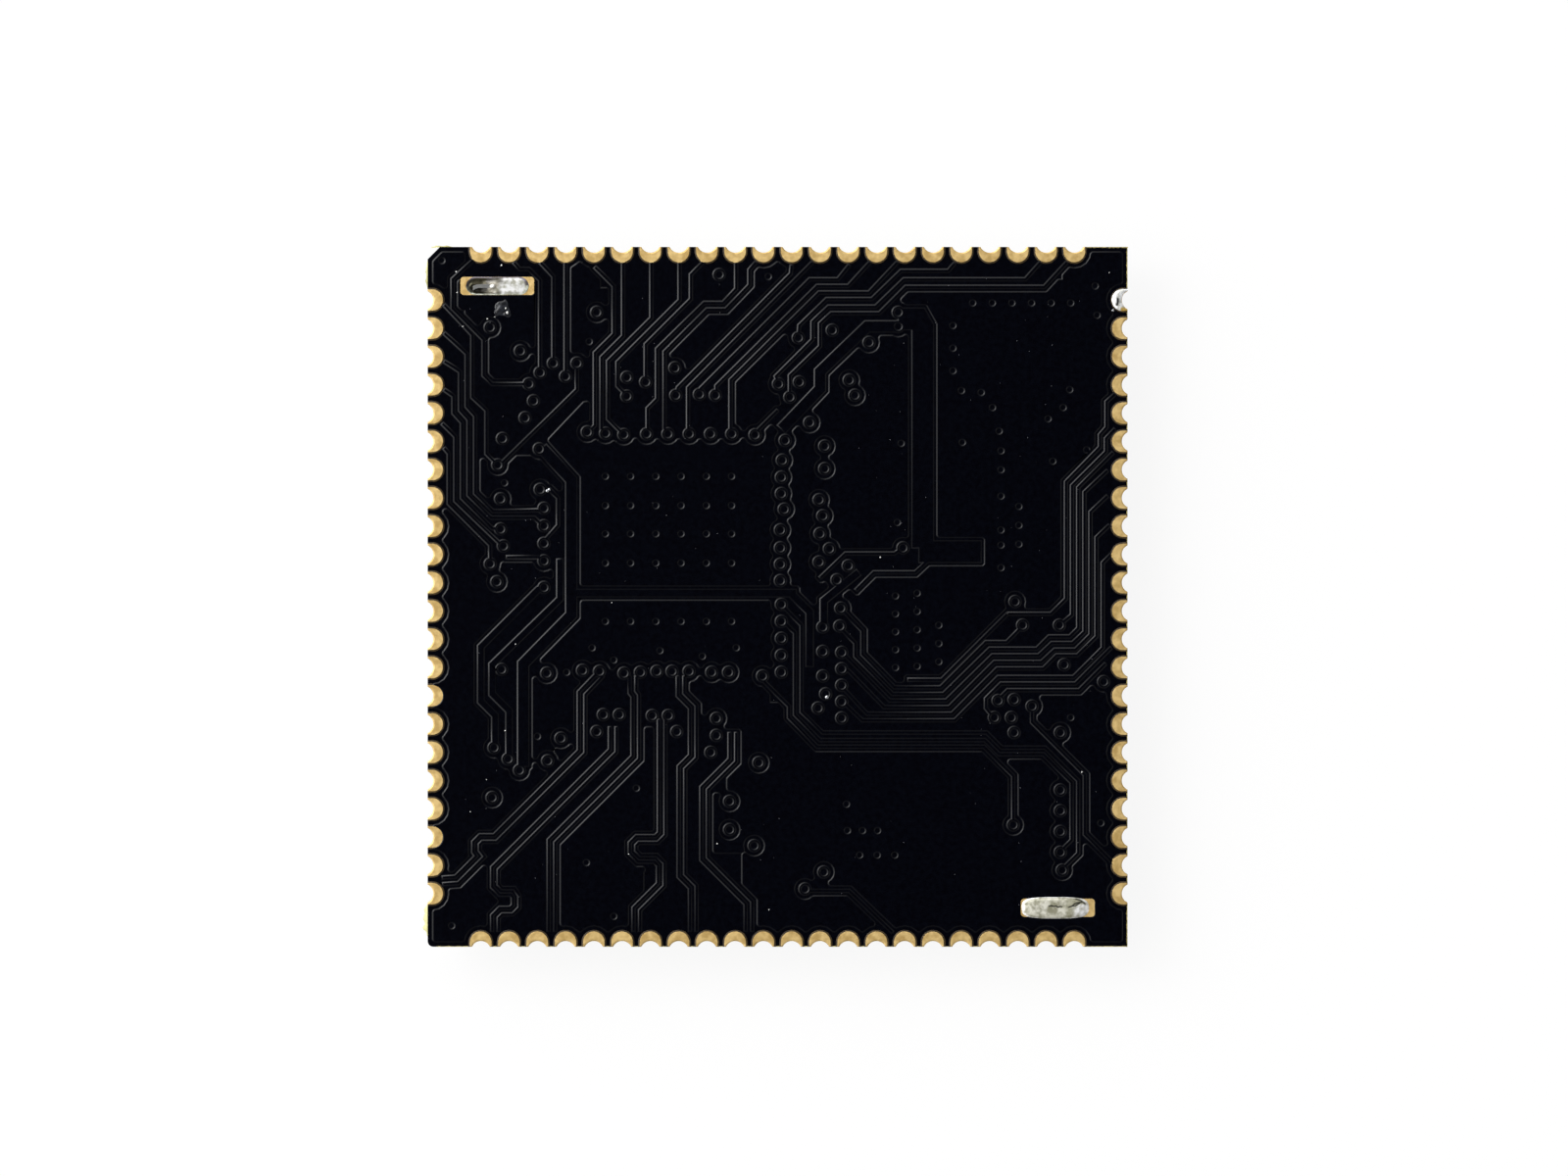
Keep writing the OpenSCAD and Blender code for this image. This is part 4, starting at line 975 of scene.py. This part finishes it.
class WIFI_OT_stage(bpy.types.Operator):
    """Floor, lamps, world and camera"""
    bl_idname = "wifi.stage"
    bl_label = "Stage"

    def execute(self, context):
        s = context.scene.wifi_module
        scene = context.scene
        scene.view_settings.view_transform = "Standard"
        scene.world = bpy.data.worlds.new("studio")
        scene.world.use_nodes = True
        tree = scene.world.node_tree
        tree.nodes.clear()
        # Dark overhead, where the lens is, and one broad soft light to the side
        place = add(tree, "TexCoord")
        split = add(tree, "SeparateXYZ", {"Vector": place.outputs["Generated"]})
        azimuth = add(tree, "Math", {0: split.outputs["Y"], 1: split.outputs["X"]}, operation="ARCTAN2")
        turned = add(tree, "Math", {0: azimuth.outputs[0]}, operation="SUBTRACT")
        turned.inputs[1].default_value = s.light_azimuth
        lobe = add(tree, "Math", {0: turned.outputs[0]}, operation="COSINE")
        ring = add(tree, "MapRange", {"Value": lobe.outputs[0]}, from_min=0.05, from_max=1.0,
                   to_min=s.ring_low, to_max=s.ring_high, interpolation_type="SMOOTHSTEP")
        lens = add(tree, "MapRange", {"Value": split.outputs["Z"]}, from_min=DARK_FROM, from_max=DARK_FULL,
                   to_min=1.0, to_max=0.0, interpolation_type="SMOOTHSTEP")
        level = add(tree, "Math", {0: ring.outputs[0], 1: lens.outputs[0]}, operation="MULTIPLY")
        path = add(tree, "LightPath")
        room = add(tree, "Background", {"Strength": level.outputs[0]}, color=(1, 1, 1, 1))
        white = add(tree, "Background", color=(1, 1, 1, 1), strength=1.0)
        mix = add(tree, "MixShader",
                  {0: path.outputs["Is Camera Ray"], 1: room.outputs[0], 2: white.outputs[0]})
        add(tree, "OutputWorld", {"Surface": mix.outputs[0]})

        bpy.ops.mesh.primitive_plane_add(size=FLOOR_SIDE, location=(0, 0, 0))
        floor = context.active_object
        floor.name = "floor"
        mat, tree, out, place = new_material("white_table")
        path = add(tree, "LightPath")
        diffuse = add(tree, "BsdfDiffuse", color=tuple(s.floor_colour) + (1.0,))
        glow = add(tree, "Emission", color=(1, 1, 1, 1), strength=1.0)
        share = add(tree, "Math", {0: path.outputs["Is Camera Ray"]}, operation="MULTIPLY")
        share.inputs[1].default_value = FLOOR_GLOW
        mix = add(tree, "MixShader", {0: share.outputs[0], 1: diffuse.outputs[0], 2: glow.outputs[0]})
        tree.links.new(mix.outputs[0], out.inputs["Surface"])
        floor.data.materials.append(mat)

        # Name, place, diameter and power
        lamps = (
            ("key", (-0.26, 0.15, 0.26), 0.22, s.key_power),
            ("right_fill", (0.34, -0.12, 0.30), 0.3, s.fill_power),
        )
        for name, place, size, power in lamps:
            data = bpy.data.lights.new(name, "AREA")
            data.shape = "DISK"
            data.size = size
            data.energy = power
            lamp = bpy.data.objects.new(name, data)
            lamp.location = place
            lamp.rotation_euler = (-Vector(place)).to_track_quat("-Z", "Y").to_euler()
            context.collection.objects.link(lamp)

        data = bpy.data.cameras.new("camera")
        data.lens = s.lens
        data.sensor_width = SENSOR_MM
        data.clip_start = 0.01
        data.clip_end = 10.0
        camera = bpy.data.objects.new("camera", data)
        away = s.frame_width * s.lens / SENSOR_MM
        camera.location = (*AIM, COPPER_TOP + away)
        camera.rotation_euler = (0, 0, 0)
        context.collection.objects.link(camera)
        scene.camera = camera
        return {"FINISHED"}


class WIFI_PT_panel(bpy.types.Panel):
    bl_label = "Wifi module"
    bl_idname = "WIFI_PT_panel"
    bl_space_type = "VIEW_3D"
    bl_region_type = "UI"
    bl_category = "Wifi module"

    def draw(self, context):
        for name in WifiModuleSettings.__annotations__:
            self.layout.prop(context.scene.wifi_module, name)
        for operator in OPERATORS:
            self.layout.operator(operator.bl_idname)


OPERATORS = (WIFI_OT_board, WIFI_OT_mask_and_copper, WIFI_OT_castellations, WIFI_OT_solder,
             WIFI_OT_residue, WIFI_OT_shield_can, WIFI_OT_inner_parts, WIFI_OT_stage)


def register():
    for cls in (WifiModuleSettings,) + OPERATORS + (WIFI_PT_panel,):
        bpy.utils.register_class(cls)
    bpy.types.Scene.wifi_module = PointerProperty(type=WifiModuleSettings)


def unregister():
    del bpy.types.Scene.wifi_module
    for cls in reversed((WifiModuleSettings,) + OPERATORS + (WIFI_PT_panel,)):
        bpy.utils.unregister_class(cls)


def main():
    register()
    for cls in OPERATORS:
        group, name = cls.bl_idname.split(".")
        getattr(getattr(bpy.ops, group), name)()
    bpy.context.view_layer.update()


if __name__ == "__main__":
    main()
